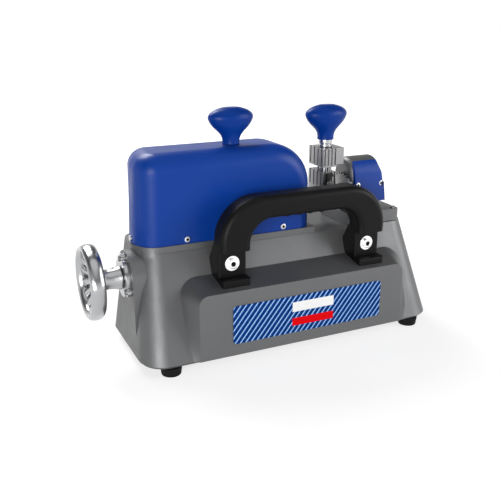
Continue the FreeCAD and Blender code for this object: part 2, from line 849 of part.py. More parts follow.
def make_hood():
    """The hood shell, its screws and the carry handle."""
    shell = cut(solid(hood_form(0)), solid(hood_form(at.hood_wall)))
    ram_port = box(("hood_right_x - hood_wall", "ram_y - ram_width / 2 - 2 * slide_gap",
                    "ram_z - 2 * slide_gap"), "3 * hood_wall", "ram_width + 4 * slide_gap",
                   "ram_height + 4 * slide_gap")
    bush_hole = rod(("lock_x", "lock_y", "hood_z - 2 * hood_wall"), "lock_bush_radius + seat_fit",
                    "3 * hood_wall")
    subpart("hood", cut(shell, ram_port, bush_hole, *hood_screw_rods("small_screw + screw_clearance")))
    screws = []
    for x in ("hood_screw_left_x", "hood_screw_right_x"):
        screws.append(screw((x, "hood_rear_y", "hood_screw_z"), "small_screw", "hood_wall + lug_depth",
                            "small_head", "small_screw", "y", 1))
        screws.append(screw((x, "hood_front_y", "hood_screw_z"), "small_screw", "hood_wall + lug_depth",
                            "small_head", "small_screw", "y", -1))
    screws.append(screw(("hood_screw_end_x", "hood_nose_y", "hood_screw_z"), "small_screw",
                        "hood_wall + lug_depth", "small_head", "small_screw", "x", 1))
    subpart("hood_screws", *screws)


def make_handle():
    """The carry handle with its two screws and washers."""
    grip = fuse(solid(handle_form()), solid(handle_foot_form(-1)), solid(handle_foot_form(1)))
    pockets = []
    holes = []
    screws = []
    washers = []
    seat = "(handle_foot_rear_y - handle_pocket_depth)"
    for x in handle_screw_places():
        pockets.append(rod((x, seat, "handle_screw_z"), "handle_pocket",
                           "handle_rear_y - handle_foot_rear_y", "y"))
        holes.append(rod((x, "deck_rear_y", "handle_screw_z"), "medium_screw + screw_clearance",
                         "handle_rear_y - deck_rear_y", "y"))
        washer = rod((x, seat, "handle_screw_z"), "handle_pocket - screw_clearance", "small_screw", "y")
        washer_hole = rod((x, seat, "handle_screw_z"), "medium_screw + screw_clearance", "small_screw", "y")
        washers.append(cut(washer, washer_hole))
        screws.append(screw((x, f"{seat} + small_screw", "handle_screw_z"), "medium_screw",
                            f"{seat} + small_screw - deck_rear_y + casting_wall", "medium_head",
                            "medium_screw", "y", 1))
    wall = solid(casting_form(-at.seat_fit, at.base_z, at.deck_z))
    ledge = solid(panel_form(-at.seat_fit, at.slot_margin))
    subpart("carry_handle", cut(grip, wall, ledge, *pockets, *holes))
    subpart("handle_washers", *washers)
    subpart("handle_screws", *screws)


# Feed: handwheel, screw, bearings, nut, ram and its ways
def make_feed():
    """The handwheel and everything that it drives along X."""
    flange = rod(("boss_face_x", "feed_y", "feed_z"), "bush_flange_radius", "bush_flange", "x")
    lobes = [rod(("boss_face_x", y, z), "bush_lobe_radius", "bush_flange", "x") for y, z in lobe_places()]
    lobe_holes = [rod(("boss_face_x", y, z), "small_screw + screw_clearance", "bush_flange", "x")
                  for y, z in lobe_places()]
    sleeve_start = "(end_wall_x - casting_wall - slot_margin)"
    sleeve = rod((sleeve_start, "feed_y", "feed_z"), "bush_radius", f"boss_face_x - {sleeve_start}", "x")
    sleeve_bore = rod((sleeve_start, "feed_y", "feed_z"), "feed_screw_radius + running_fit",
                      f"boss_face_x + bush_flange - {sleeve_start}", "x")
    subpart("feed_bush", cut(fuse(flange, sleeve, *lobes), sleeve_bore, *lobe_holes))
    subpart("bush_screws", *[screw(("boss_face_x + bush_flange", y, z), "small_screw", "2 * bush_flange",
                                   "small_head", "small_screw", "x", 1) for y, z in lobe_places()])

    # The end block hangs from the underside of the deck
    block = box(("feed_screw_end_x", "feed_y - end_block", "feed_z - end_block"), "end_block",
                "2 * end_block", "cavity_z - feed_z + end_block")
    block_bore = rod(("feed_screw_end_x", "feed_y", "feed_z"), "feed_screw_radius + running_fit",
                     "end_block", "x")
    subpart("feed_end_block", cut(block, block_bore))

    screw_start = "feed_screw_end_x"
    subpart("feed_screw", rod((screw_start, "feed_y", "feed_z"), "feed_screw_radius",
                              f"wheel_x + wheel_rim_width / 2 - {screw_start}", "x"))
    make_wheel()

    yoke_low = "feed_z - yoke_width / 2"
    yoke = box(("yoke_x - yoke_length / 2", "feed_y - yoke_width / 2", yoke_low), "yoke_length",
               "yoke_width", f"ram_z - ({yoke_low})")
    nut_hole = rod(("yoke_x - yoke_length / 2", "feed_y", "feed_z"), "nut_radius", "yoke_length", "x")
    subpart("feed_yoke", cut(yoke, nut_hole))
    nut = rod(("yoke_x - nut_length / 2", "feed_y", "feed_z"), "nut_radius", "nut_length", "x")
    nut_bore = rod(("yoke_x - nut_length / 2", "feed_y", "feed_z"), "feed_screw_radius + running_fit",
                   "nut_length", "x")
    subpart("feed_nut", cut(nut, nut_bore))

    way_length = "way_left_x - (way_right_x)"
    floor = box(("way_right_x", "ram_y - way_half - way_wall", "seat_z"), way_length,
                "2 * (way_half + way_wall)", "way_floor + ram_height + 2 * slide_gap")
    channel = box(("way_right_x", "ram_y - way_half", "way_top_z"), way_length, "2 * way_half",
                  "way_floor + ram_height")
    way_slot = box(("yoke_x - yoke_length / 2 - feed_in - slot_margin",
                    "feed_y - yoke_width / 2 - slide_gap", "seat_z"),
                   "yoke_length + feed_in + feed_out + 2 * slot_margin", "yoke_width + 2 * slide_gap",
                   "way_floor + 2 * slide_gap")
    subpart("ram_way", cut(floor, channel, way_slot))
    gib_z = "ram_top_z + slide_gap"
    gibs = [box(("way_right_x", y, gib_z), way_length, "way_wall + gib_overlap", "gib_thickness")
            for y in ("ram_y - way_half - way_wall", "ram_y + way_half - gib_overlap")]
    subpart("ram_gibs", *gibs)
    subpart("ram", box(("ram_end_x", "ram_y - ram_width / 2", "ram_z"), "ram_tail_x - ram_end_x",
                       "ram_width", "ram_height"))


def make_wheel():
    """The spoked handwheel, with a deep rim and a hub, and its set screw."""
    rim_start = Vector(at.wheel_x, at.feed_y, at.feed_z)
    along = Vector(1, 0, 0)
    ring = Part.makeCylinder(at.wheel_radius, at.wheel_rim_width, rim_start, along)
    ring = ring.makeFillet(at.wheel_rim / 2, [edge for edge in ring.Edges if edge.Closed])
    ring = ring.cut(Part.makeCylinder(at.wheel_radius - at.wheel_rim, at.wheel_rim_width, rim_start, along))
    for index in range(round(at.wheel_lobes)):
        groove = Part.makeCylinder(at.lobe_groove, at.wheel_rim_width,
                                   Vector(at.wheel_x, at.feed_y,
                                          at.feed_z + at.wheel_radius + at.lobe_groove - at.lobe_depth), along)
        groove.rotate(rim_start, along, 360 * index / at.wheel_lobes)
        ring = ring.cut(groove)
    hub_start = "boss_face_x + bush_flange + slide_gap"
    spoke_z = at.feed_z + at.wheel_waist
    reach = at.wheel_radius - at.wheel_rim / 2 - at.wheel_waist
    spokes = []
    for index in range(round(at.wheel_spokes)):
        spoke = Part.makeBox(at.spoke_thickness, at.spoke_width, reach,
                             Vector(at.wheel_x + at.wheel_rim_width / 2 - at.spoke_thickness,
                                    at.feed_y - at.spoke_width / 2, spoke_z))
        spoke.rotate(rim_start, along, 360 * index / at.wheel_spokes)
        spokes.append(solid(spoke))
    bore = rod((hub_start, "feed_y", "feed_z"), "feed_screw_radius + seat_fit",
               "wheel_offset + wheel_rim_width", "x")
    set_hole = rod(("boss_face_x + bush_flange + wheel_offset / 3", "feed_y", "feed_z"),
                   "small_screw + screw_clearance", "2 * wheel_hub_radius")
    subpart("handwheel", cut(fuse(solid(ring), solid(trumpet_form()), *spokes), bore, set_hole))
    subpart("wheel_set_screw", rod(("boss_face_x + bush_flange + wheel_offset / 3", "feed_y",
                                    "feed_z + feed_screw_radius + seat_fit"), "small_screw",
                                   "wheel_hub_radius / 2"))


def trumpet_form():
    """The handwheel's hub, which narrows to a waist and flares out to the spokes."""
    start_x = at.boss_face_x + at.bush_flange + at.slide_gap
    end_x = at.wheel_x + at.wheel_rim_width / 2
    sections = []
    for share, radius in ((0, at.wheel_hub_radius), (0.35, at.wheel_waist), (0.65, at.wheel_waist),
                          (1, at.wheel_flare)):
        middle = Vector(start_x + share * (end_x - start_x), at.feed_y, at.feed_z)
        sections.append(Part.Wire([Part.Circle(middle, Vector(1, 0, 0), radius).toShape()]))
    return Part.makeLoft(sections, True, False)


# Vise: two finned jaws, the clamp screw with its knob, guide pins and the key stop
def fin_grooves(low_z, height):
    """Upright grooves on a jaw's rear face and on its +X face."""
    grooves = []
    for index in range(round(at.fin_count)):
        share = f"({index} + 0.5) / fin_count"
        grooves.append(box((f"ram_end_x + jaw_length * {share} - fin_groove / 2", "jaw_rear_y - fin_depth",
                            low_z), "fin_groove", "2 * fin_depth", height))
        grooves.append(box(("jaw_left_x - fin_depth", f"jaw_rear_y - jaw_depth * {share} - fin_groove / 2",
                            low_z), "2 * fin_depth", "fin_groove", height))
    return grooves


def jaw_pin_rods(radius, low_z, height):
    """A rod along each of the two guide pins."""
    return [rod(("jaw_screw_x", f"jaw_y + {sign} * jaw_pin_spacing / 2", low_z), radius, height)
            for sign in (-1, 1)]


def make_vise():
    """The vise at the ram's end."""
    low = box(("ram_end_x", "jaw_rear_y - jaw_depth", "ram_top_z"), "jaw_length", "jaw_depth",
              "lower_jaw_height")
    low_screw_hole = rod(("jaw_screw_x", "jaw_y", "ram_top_z"), "jaw_screw_radius + running_fit",
                         "lower_jaw_height")
    stop_hole = rod(("stop_x", "jaw_rear_y - 2 * stop_pin_radius - fin_depth", "stop_z"),
                    "stop_pin_radius", "4 * stop_pin_radius + fin_depth", "y")
    stop_pad = rod(("stop_x", "jaw_rear_y - fin_depth", "stop_z"), "1.3 * stop_width", "fin_depth", "y")
    finned = cut(low, *fin_grooves("ram_top_z + lower_jaw_height / 3", "lower_jaw_height"))
    subpart("lower_jaw", cut(fuse(finned, stop_pad), low_screw_hole, stop_hole,
                             *jaw_pin_rods("jaw_pin_radius", "ram_top_z + lower_jaw_height / 2",
                                           "lower_jaw_height")))

    high = box(("ram_end_x", "jaw_rear_y - jaw_depth", "upper_jaw_z"), "jaw_length", "jaw_depth",
               "upper_jaw_height")
    plain = box(("ram_end_x - overhang", "jaw_rear_y - jaw_depth + fin_depth", "upper_jaw_z + fin_depth"),
                "overhang", "jaw_depth - 2 * fin_depth", "upper_jaw_height - fin_depth")
    high_screw_hole = rod(("jaw_screw_x", "jaw_y", "upper_jaw_z"), "jaw_screw_radius + running_fit",
                          "upper_jaw_height")
    finned = cut(high, *fin_grooves("upper_jaw_z + fin_depth", "upper_jaw_height"))
    subpart("upper_jaw", cut(fuse(finned, plain), high_screw_hole,
                             *jaw_pin_rods("jaw_pin_radius + running_fit", "upper_jaw_z",
                                           "upper_jaw_height")))
    subpart("jaw_pins", *jaw_pin_rods("jaw_pin_radius", "ram_top_z + lower_jaw_height / 2",
                                      "lower_jaw_height / 2 + key_gap + upper_jaw_height * 0.8"))

    shank = rod(("jaw_screw_x", "jaw_y", "ram_top_z + slide_gap"), "jaw_screw_radius",
                "knob_z + knob_height / 3 - ram_top_z - slide_gap")
    stem = rod(("jaw_screw_x", "jaw_y", "stem_z"), "stem_radius", "stem_height")
    groove = cut(rod(("jaw_screw_x", "jaw_y", "stem_z + stem_height / 3"), "2 * stem_radius",
                     "stem_height / 6"),
                 rod(("jaw_screw_x", "jaw_y", "stem_z"), "stem_radius - screw_clearance * 8",
                     "stem_height"))
    subpart("clamp_screw", cut(fuse(shank, stem), groove))
    knob = solid(knob_form(at.jaw_screw_x, at.jaw_y, at.knob_z))
    knob_hole = rod(("jaw_screw_x", "jaw_y", "knob_z"), "jaw_screw_radius", "knob_height / 3")
    subpart("clamp_knob", cut(knob, knob_hole))

    stop_y = "jaw_rear_y + slide_gap"
    hub = rod(("stop_x", stop_y, "stop_z"), "stop_width", "stop_thickness", "y")
    hub_hole = rod(("stop_x", stop_y, "stop_z"), "stop_pin_radius + running_fit", "stop_thickness", "y")
    arm = box(("stop_x - stop_width / 2", stop_y, "stop_z"), "stop_width", "stop_thickness",
              "stop_radius")
    tip = box(("stop_x - 1.5 * stop_width", stop_y, "stop_z + stop_radius - stop_width"), "2 * stop_width",
              "stop_thickness", "stop_width")
    subpart("key_stop", cut(fuse(hub, arm, tip), hub_hole))
    pin = rod(("stop_x", "jaw_rear_y - 2 * stop_pin_radius", "stop_z"), "stop_pin_radius",
              "2 * stop_pin_radius + stop_thickness + 2 * slide_gap", "y")
    cap = rod(("stop_x", f"{stop_y} + stop_thickness + slide_gap", "stop_z"), "2 * stop_pin_radius",
              "stop_pin_radius", "y")
    subpart("stop_pin", fuse(pin, cap))


def make_lock():
    """The knob on the hood that locks the ram."""
    bush = rod(("lock_x", "lock_y", "hood_z - 2 * hood_wall"), "lock_bush_radius", "2 * hood_wall")
    bush_bore = rod(("lock_x", "lock_y", "hood_z - 2 * hood_wall"), "lock_screw_radius + running_fit",
                    "2 * hood_wall")
    subpart("lock_bush", cut(bush, bush_bore))
    pad_z = "ram_top_z + 2 * slide_gap"
    pad = rod(("lock_x", "lock_y", pad_z), "lock_pad_radius", "lock_pad")
    shank = rod(("lock_x", "lock_y", pad_z), "lock_screw_radius",
                f"hood_z + slide_gap + knob_height / 3 - ({pad_z})")
    subpart("lock_screw", fuse(pad, shank))
    knob = solid(knob_form(at.lock_x, at.lock_y, at.hood_z + at.slide_gap))
    knob_hole = rod(("lock_x", "lock_y", "hood_z + slide_gap"), "lock_screw_radius", "knob_height / 3")
    subpart("lock_knob", cut(knob, knob_hole))


# Head: plinth, cowl, cover, spindle with its cutter, belt and motor
def make_head():
    """The spindle head on its plinth."""
    plinth = solid(rounded_plinth())
    plinth_holes = [rod((x, y, "deck_z"), "small_screw + screw_clearance", "plinth_height")
                    for x, y in plinth_screw_places()]
    subpart("head_plinth", cut(plinth, belt_opening("deck_z", "plinth_height"), *plinth_holes))
    subpart("plinth_screws", *[screw((x, y, "plinth_z"), "small_screw", "plinth_height + deck_thickness",
                                     "small_head", "small_screw", "z", 1)
                               for x, y in plinth_screw_places()])

    length = at.head_left_x - at.head_right_x
    outer = arch_form(0, at.head_right_x, length)
    end_edges = []
    for edge in outer.Edges:
        bounds = edge.BoundBox
        if bounds.XLength < 0.001 and bounds.ZMax > at.plinth_z + 0.001:
            end_edges.append(edge)
    cowl = solid(outer.makeFillet(at.head_round, end_edges))
    cavity = solid(arch_form(-at.head_wall, at.head_right_x + at.head_wall, length - 2 * at.head_wall))
    boss_radius = "bearing_radius + bearing_boss"
    front_boss = rod(("head_left_x - bearing_boss_length", "spindle_y", "spindle_z"), boss_radius,
                     "bearing_boss_length - head_wall / 2", "x")
    rear_boss = rod(("head_right_x + head_wall / 2", "spindle_y", "spindle_z"), boss_radius,
                    "bearing_boss_length - head_wall / 2", "x")
    through = rod(("head_right_x", "spindle_y", "spindle_z"), "bearing_radius * 0.75",
                  "head_left_x - head_right_x", "x")
    seats = [rod((x, "spindle_y", "spindle_z"), "bearing_radius + screw_clearance / 2",
                 "bearing_boss_length - head_wall + slide_gap", "x")
             for x in ("head_left_x - bearing_boss_length - slide_gap", "head_right_x + head_wall")]
    cover_holes = [rod((x, "head_y", "cover_screw_z"), "small_screw + screw_clearance",
                       "2 * head_half_depth", "y") for x in cover_screw_places()]
    subpart("head_cowl", cut(fuse(cut(cowl, cavity), front_boss, rear_boss), through, *seats, *cover_holes))
    make_cover()


def rounded_plinth():
    """The plinth's block with round upright corners."""
    outline = rounded_outline(at.plinth_right_x, at.plinth_left_x, at.plinth_front_y, at.plinth_rear_y,
                              at.plinth_corner, at.deck_z)
    return Part.Face(outline).extrude(Vector(0, 0, at.plinth_height))


def cover_screw_places():
    """X of the two screws of the cover."""
    return [f"cover_x + {sign} * (cover_length / 2 - small_head - head_wall / 4)" for sign in (-1, 1)]


def make_cover():
    """The cover on the rear side of the cowl, bent to its arch."""
    low_x = at.cover_x - at.cover_length / 2
    shell = arch_form(at.cover_thickness, low_x, at.cover_length)
    shell = shell.cut(arch_form(at.seat_fit, low_x, at.cover_length))
    reach = at.head_half_depth + 2 * at.cover_thickness
    window = Part.makeBox(at.cover_length, reach, at.head_height,
                          Vector(low_x, at.head_y + at.cover_start, at.plinth_z + at.cover_bottom))
    cover = solid(shell.common(window))
    pockets = []
    holes = []
    screws = []
    for x in cover_screw_places():
        pockets.append(rod((x, "cover_screw_y", "cover_screw_z"), "small_head + screw_clearance",
                           "head_half_depth", "y"))
        holes.append(rod((x, "head_y", "cover_screw_z"), "small_screw + screw_clearance",
                         "2 * head_half_depth", "y"))
        screws.append(screw((x, "cover_screw_y", "cover_screw_z"), "small_screw",
                            "head_wall", "small_head", "small_screw", "y", 1))
    subpart("head_cover", cut(cover, *pockets, *holes))
    subpart("cover_screws", *screws)


def ring_x(start_x, y, z, outer, inner, width):
    """A ring about an axis along X."""
    return cut(rod((start_x, y, z), outer, width, "x"), rod((start_x, y, z), inner, width, "x"))


def make_drive():
    """Spindle, bearings, cutter, pulleys, belt and motor."""
    bearing_places = ("head_left_x - bearing_boss_length", "head_right_x + head_wall")
    subpart("spindle_bearings", *[ring_x(x, "spindle_y", "spindle_z", "bearing_radius",
                                         "spindle_radius + screw_clearance / 2", "bearing_width")
                                  for x in bearing_places])
    spindle_start = "head_right_x - cutter_gap - end_knob_length"
    cutter_x = "head_left_x + cutter_gap"
    nut_x = "head_left_x + cutter_gap + cutter_width"
    subpart("spindle", rod((spindle_start, "spindle_y", "spindle_z"), "spindle_radius",
                           f"{nut_x} - ({spindle_start})", "x"))
    cutter = ring_x(cutter_x, "spindle_y", "spindle_z", "cutter_radius", "spindle_radius", "cutter_width")
    teeth = []
    for index in range(round(at.cutter_teeth)):
        tooth = Part.makeBox(at.cutter_width, at.cutter_width / 2, at.cutter_width,
                             Vector(at.head_left_x + at.cutter_gap, at.spindle_y,
                                    at.spindle_z + at.cutter_radius - at.cutter_width / 2))
        tooth.rotate(Vector(0, at.spindle_y, at.spindle_z), Vector(1, 0, 0), 360 * index / at.cutter_teeth)
        teeth.append(solid(tooth))
    subpart("cutter", cut(cutter, *teeth))
    nut = doc.addObject("Part::Prism", "nut")
    nut.Polygon = 6
    nut.setExpression("Circumradius", linked("spindle_radius * 1.4"))
    nut.setExpression("Height", linked("nut_height"))
    nut.Placement.Rotation = TURNS["x"]
    subpart("cutter_nut", place(nut, (nut_x, "spindle_y", "spindle_z")))
    subpart("spindle_knob", ring_x(spindle_start, "spindle_y", "spindle_z",
                                   "end_knob_radius + spindle_radius / 2", "spindle_radius",
                                   "end_knob_length"))

    pulley_start = "pulley_x - pulley_width / 2"
    subpart("spindle_pulley", ring_x(pulley_start, "spindle_y", "spindle_z", "pulley_radius",
                                     "spindle_radius", "pulley_width"))
    subpart("motor_pulley", ring_x(pulley_start, "spindle_y", "motor_z", "pulley_radius",
                                   "motor_shaft_radius", "pulley_width"))
    subpart("motor_shaft", rod((pulley_start, "spindle_y", "motor_z"), "motor_shaft_radius",
                               f"motor_x + motor_length / 4 - ({pulley_start})", "x"))
    subpart("drive_belt", solid(belt_form()))

    case = rod(("motor_x", "spindle_y", "motor_z"), "motor_radius", "motor_length", "x")
    shaft_hole = rod(("motor_x", "spindle_y", "motor_z"), "motor_shaft_radius + running_fit",
                     "motor_length / 4", "x")
    subpart("motor", cut(case, shaft_hole))
    wall = box(("motor_x - motor_plate", "spindle_y - motor_plate_width / 2", "base_z"), "motor_plate",
               "motor_plate_width", "motor_plate_rise")
    foot = box(("motor_x", "spindle_y - motor_plate_width / 2", "base_z"), "motor_plate_foot",
               "motor_plate_width", "motor_plate")
    plate_hole = rod(("motor_x - motor_plate", "spindle_y", "motor_z"), "motor_shaft_radius * 2",
                     "motor_plate", "x")
    subpart("motor_bracket", cut(fuse(wall, foot), plate_hole))


def belt_form():
    """A flat belt round the two pulleys."""
    width = at.pulley_width * 0.8
    low_x = at.pulley_x - width / 2

    def loop(radius):
        ends = [Part.makeCylinder(radius, width, Vector(low_x, at.spindle_y, z), Vector(1, 0, 0))
                for z in (at.motor_z, at.spindle_z)]
        middle = Part.makeBox(width, 2 * radius, at.spindle_z - at.motor_z,
                              Vector(low_x, at.spindle_y - radius, at.motor_z))
        return ends[0].fuse([ends[1], middle]).removeSplitter()

    inside = at.pulley_radius + at.slide_gap
    return loop(inside + at.belt_thickness).cut(loop(inside))


# Electrics: control board, power inlet with its rocker switch
def make_electrics():
    """The board on its standoffs and the inlet module in the -X end."""
    low_x = "board_x - board_length / 2"
    low_y = "board_y - board_width / 2"
    standoffs = []
    for sign_x in (-1, 1):
        for sign_y in (-1, 1):
            standoffs.append(rod((f"board_x + {sign_x} * (board_length / 2 - board_margin)",
                                  f"board_y + {sign_y} * (board_width / 2 - board_margin)", "base_z"),
                                 "standoff_radius", "standoff_height"))
    subpart("board_standoffs", *standoffs)
    subpart("control_board", box((low_x, low_y, "base_z + standoff_height"), "board_length", "board_width",
                                 "board_thickness"))

    middle_z = "base_z + inlet_rise"
    body_x = "(-base_half_length + rocker_stand + slide_gap)"
    body = box((body_x, "feed_y - inlet_width / 2", f"{middle_z} - inlet_height / 2"),
               "inlet_depth", "inlet_width", "inlet_height")
    rocker_y = "feed_y - inlet_width / 4"
    well = box((body_x, f"{rocker_y} - rocker_width / 2 - slide_gap",
                f"{middle_z} - rocker_height / 2 - slide_gap"), "rocker_depth + 2 * slide_gap",
               "rocker_width + 2 * slide_gap", "rocker_height + 2 * slide_gap")
    jack = rod((body_x, "feed_y + inlet_width / 4", middle_z), "jack_radius", "inlet_depth * 0.6", "x")
    pivot = (f"{body_x} + rocker_depth / 2", f"{rocker_y} - rocker_width / 2 - trunnion_length", middle_z)
    trunnion_hole = rod(pivot, "trunnion_radius + running_fit", "rocker_width + 2 * trunnion_length", "y")
    subpart("power_inlet", cut(body, well, jack, trunnion_hole))
    rocker = box((f"{body_x} - rocker_stand", f"{rocker_y} - rocker_width / 2",
                  f"{middle_z} - rocker_height / 2 + rocker_stand"),
                 "rocker_depth + rocker_stand - slide_gap", "rocker_width",
                 "rocker_height - 2 * rocker_stand")
    trunnion = rod(pivot, "trunnion_radius", "rocker_width + 2 * trunnion_length - slide_gap", "y")
    subpart("power_rocker", fuse(rocker, trunnion))


make_base()
make_underside()
make_label()
make_hood()
make_handle()
make_feed()
make_vise()
make_lock()
make_head()
make_drive()
make_electrics()
doc.recompute()

for item in doc.Objects:
    if "Invalid" in item.State or "Error" in item.State:
        raise RuntimeError(f"{item.Name} ({item.TypeId}) failed: {item.State}")
for item in subparts:
    if item.Shape.isNull() or not item.Shape.isValid() or not item.Shape.Solids:
        raise RuntimeError(f"{item.Label} has no valid solid")

os.makedirs("parts", exist_ok=True)
for item in subparts:
    item.Shape.exportStep(f"parts/{item.Label}.step")
    print(f"{item.Label}: {len(item.Shape.Solids)} solids, {item.Shape.Volume / 1000:.1f} cm3")
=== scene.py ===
"""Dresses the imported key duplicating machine: meshes, finishes, floor, light and camera."""
import json
import logging
import math
from dataclasses import dataclass
from enum import Enum
from typing import Callable, ClassVar, Iterable, Optional, Union

import bmesh
import bpy
from bpy.types import ID, Material, Mesh, Node, NodeSocket, NodeTree, Object
from mathutils import Matrix, Vector

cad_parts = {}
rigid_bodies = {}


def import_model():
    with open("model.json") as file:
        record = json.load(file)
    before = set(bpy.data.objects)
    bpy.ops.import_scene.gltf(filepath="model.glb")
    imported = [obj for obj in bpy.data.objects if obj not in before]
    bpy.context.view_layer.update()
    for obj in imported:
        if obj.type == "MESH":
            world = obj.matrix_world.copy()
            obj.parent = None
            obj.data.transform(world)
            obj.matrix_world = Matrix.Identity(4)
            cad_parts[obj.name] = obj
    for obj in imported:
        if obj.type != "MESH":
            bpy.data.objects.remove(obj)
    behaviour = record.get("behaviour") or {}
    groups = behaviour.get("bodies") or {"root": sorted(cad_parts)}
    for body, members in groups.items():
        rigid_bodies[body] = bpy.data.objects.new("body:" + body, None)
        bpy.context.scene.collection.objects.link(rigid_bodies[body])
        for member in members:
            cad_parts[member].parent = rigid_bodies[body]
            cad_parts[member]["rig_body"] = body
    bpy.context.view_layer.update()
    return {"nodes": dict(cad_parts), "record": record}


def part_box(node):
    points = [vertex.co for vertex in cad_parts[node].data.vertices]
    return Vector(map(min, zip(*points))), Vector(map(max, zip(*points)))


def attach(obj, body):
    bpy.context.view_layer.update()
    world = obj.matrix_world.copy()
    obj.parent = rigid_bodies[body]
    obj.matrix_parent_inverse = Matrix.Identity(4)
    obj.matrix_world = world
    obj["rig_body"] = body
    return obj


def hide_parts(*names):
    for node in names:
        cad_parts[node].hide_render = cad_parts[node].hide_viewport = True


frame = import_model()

log = logging.getLogger("key_machine")

Span = tuple[float, float]
Triple = tuple[float, float, float]
Feed = Union[Node, NodeSocket, float, int, bool, tuple]
Shape = Callable[[Vector], Vector]
MM = 0.001
TONE = "tone"
MERGE = 1e-6
GRAIN_DEPTH = 0.5 * MM
NOISE_RANGE = (0.3, 0.7)
COAT_ROUGHNESS = 0.08
FLAT_ANGLE = math.radians(0.4)
BEVEL_ANGLE = math.radians(30)
KNOB_EDGE = 0.3 * MM
# Shares of a screw's head: where the head starts, the socket's edge, where the socket's painted shade fades
# to the plating, and its depth.
HEAD_SHARE = 0.9
SOCKET_SHARE = 0.45
SOCKET_SHADE = (0.4, 0.5)
SOCKET_DEPTH = 0.7
# The handwheel's grooves and the outline of its hub.
GROOVE_FULL = 0.6
HUB_REACH = 20 * MM
HUB_OUTLINE = ((0.0, 0.57), (0.04, 0.6), (0.15, 0.575), (0.4, 0.52), (0.65, 0.525),
               (0.85, 0.6), (0.96, 0.69), (1.0, 0.62))
WHITE = (1.0, 1.0, 1.0, 1.0)
PLATED = (0.95, 0.95, 0.95, 1.0)
# Colour painted at the bottom of a screw's socket, as the shade that falls in the recess.
SOCKET_PAINTED_SHADE = (0.01, 0.01, 0.01, 1.0)
TRACKS = (0.45, 0.3, 0.08, 1.0)
LABEL_WHITE = (0.97, 0.97, 0.97, 1.0)
LABEL_RED = (0.8, 0.003, 0.006, 1.0)


def box_of(node: str) -> tuple[Vector, Vector]:
    """The lowest and the highest corner of a CAD node's box."""
    lowest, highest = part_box(node)
    return Vector(lowest), Vector(highest)


def put(name: str, data: ID) -> Object:
    """Puts a new object with its data in the scene."""
    item = bpy.data.objects.new(name, data)
    bpy.context.scene.collection.objects.link(item)
    return item


def merged(node: str) -> bmesh.types.BMesh:
    """An open copy of a CAD node's mesh, with its doubled points merged."""
    shell = bmesh.new()
    shell.from_mesh(frame["nodes"][node].data)
    bmesh.ops.remove_doubles(shell, verts=shell.verts, dist=MERGE)
    return shell


class Pattern(Enum):
    """What a finish shows besides its grain."""

    PLAIN = "plain"
    LABEL = "label"
    BOARD = "board"


class NodeSheet:
    """A node tree that is filled node by node."""

    def __init__(self, tree: NodeTree) -> None:
        """Keeps the tree."""
        self.tree = tree

    def add(self, kind: str, settings: Optional[dict] = None, **feeds: Feed) -> Node:
        """Adds a node.

        Args:
            kind: The node's type.
            settings: Properties of the node, by name.
            feeds: Inputs by name, with _ for a space, as values, outputs or nodes.

        Returns:
            The new node.
        """
        node = self.tree.nodes.new(kind)
        for name, value in (settings or {}).items():
            setattr(node, name, value)
        for name, value in feeds.items():
            self.feed(node.inputs[name.replace("_", " ")], value)
        return node

    def feed(self, target: NodeSocket, value: Feed) -> None:
        """Links an output, or a node's first output, to an input, or else sets the input's value."""
        if isinstance(value, Node):
            value = value.outputs[0]
        if isinstance(value, NodeSocket):
            self.tree.links.new(value, target)
        else:
            target.default_value = value

    def _operate(self, kind: str, operation: str, values: Iterable[Feed]) -> Node:
        """Adds a node for an operation, with its inputs in order."""
        node = self.add(kind, {"operation": operation})
        for target, value in zip(node.inputs, values):
            self.feed(target, value)
        return node

    def math(self, operation: str, *values: Feed) -> NodeSocket:
        """Adds a Math node and gives its output."""
        return self._operate("ShaderNodeMath", operation, values).outputs[0]

    def times(self, *values: Feed) -> NodeSocket:
        """Multiplies two values."""
        return self.math("MULTIPLY", *values)

    def vector(self, operation: str, *values: Feed) -> Node:
        """Adds a Vector Math node."""
        return self._operate("ShaderNodeVectorMath", operation, values)

    def ramp(self, value: Feed, low: float, high: float, first: Feed = 0.0, last: Feed = 1.0,
             smooth: bool = False) -> NodeSocket:
        """Maps a range of values to another.

        Args:
            value: The value to map.
            low: Start of its range.
            high: End of its range.
            first: Result at the start.
            last: Result at the end.
            smooth: Whether the change eases in and out.

        Returns:
            The mapped value.
        """
        kind = "SMOOTHSTEP" if smooth else "LINEAR"
        node = self.add("ShaderNodeMapRange", {"interpolation_type": kind}, Value=value, From_Min=low,
                        From_Max=high, To_Min=first, To_Max=last)
        return node.outputs["Result"]

    def blend(self, factor: Feed, first: Feed, last: Feed) -> NodeSocket:
        """Mixes two colours.

        Args:
            factor: 0 for the first, 1 for the last.
            first: A colour.
            last: A colour.

        Returns:
            The mixed colour.
        """
        node = self.add("ShaderNodeMix", {"data_type": "RGBA"})
        self.feed(node.inputs["Factor"], factor)
        colours = [socket for socket in node.inputs if socket.type == "RGBA"]
        self.feed(colours[0], first)
        self.feed(colours[1], last)
        return next(socket for socket in node.outputs if socket.type == "RGBA")

    def place(self) -> NodeSocket:
        """A place on the surface in Object coordinates."""
        return self.add("ShaderNodeTexCoord").outputs["Object"]


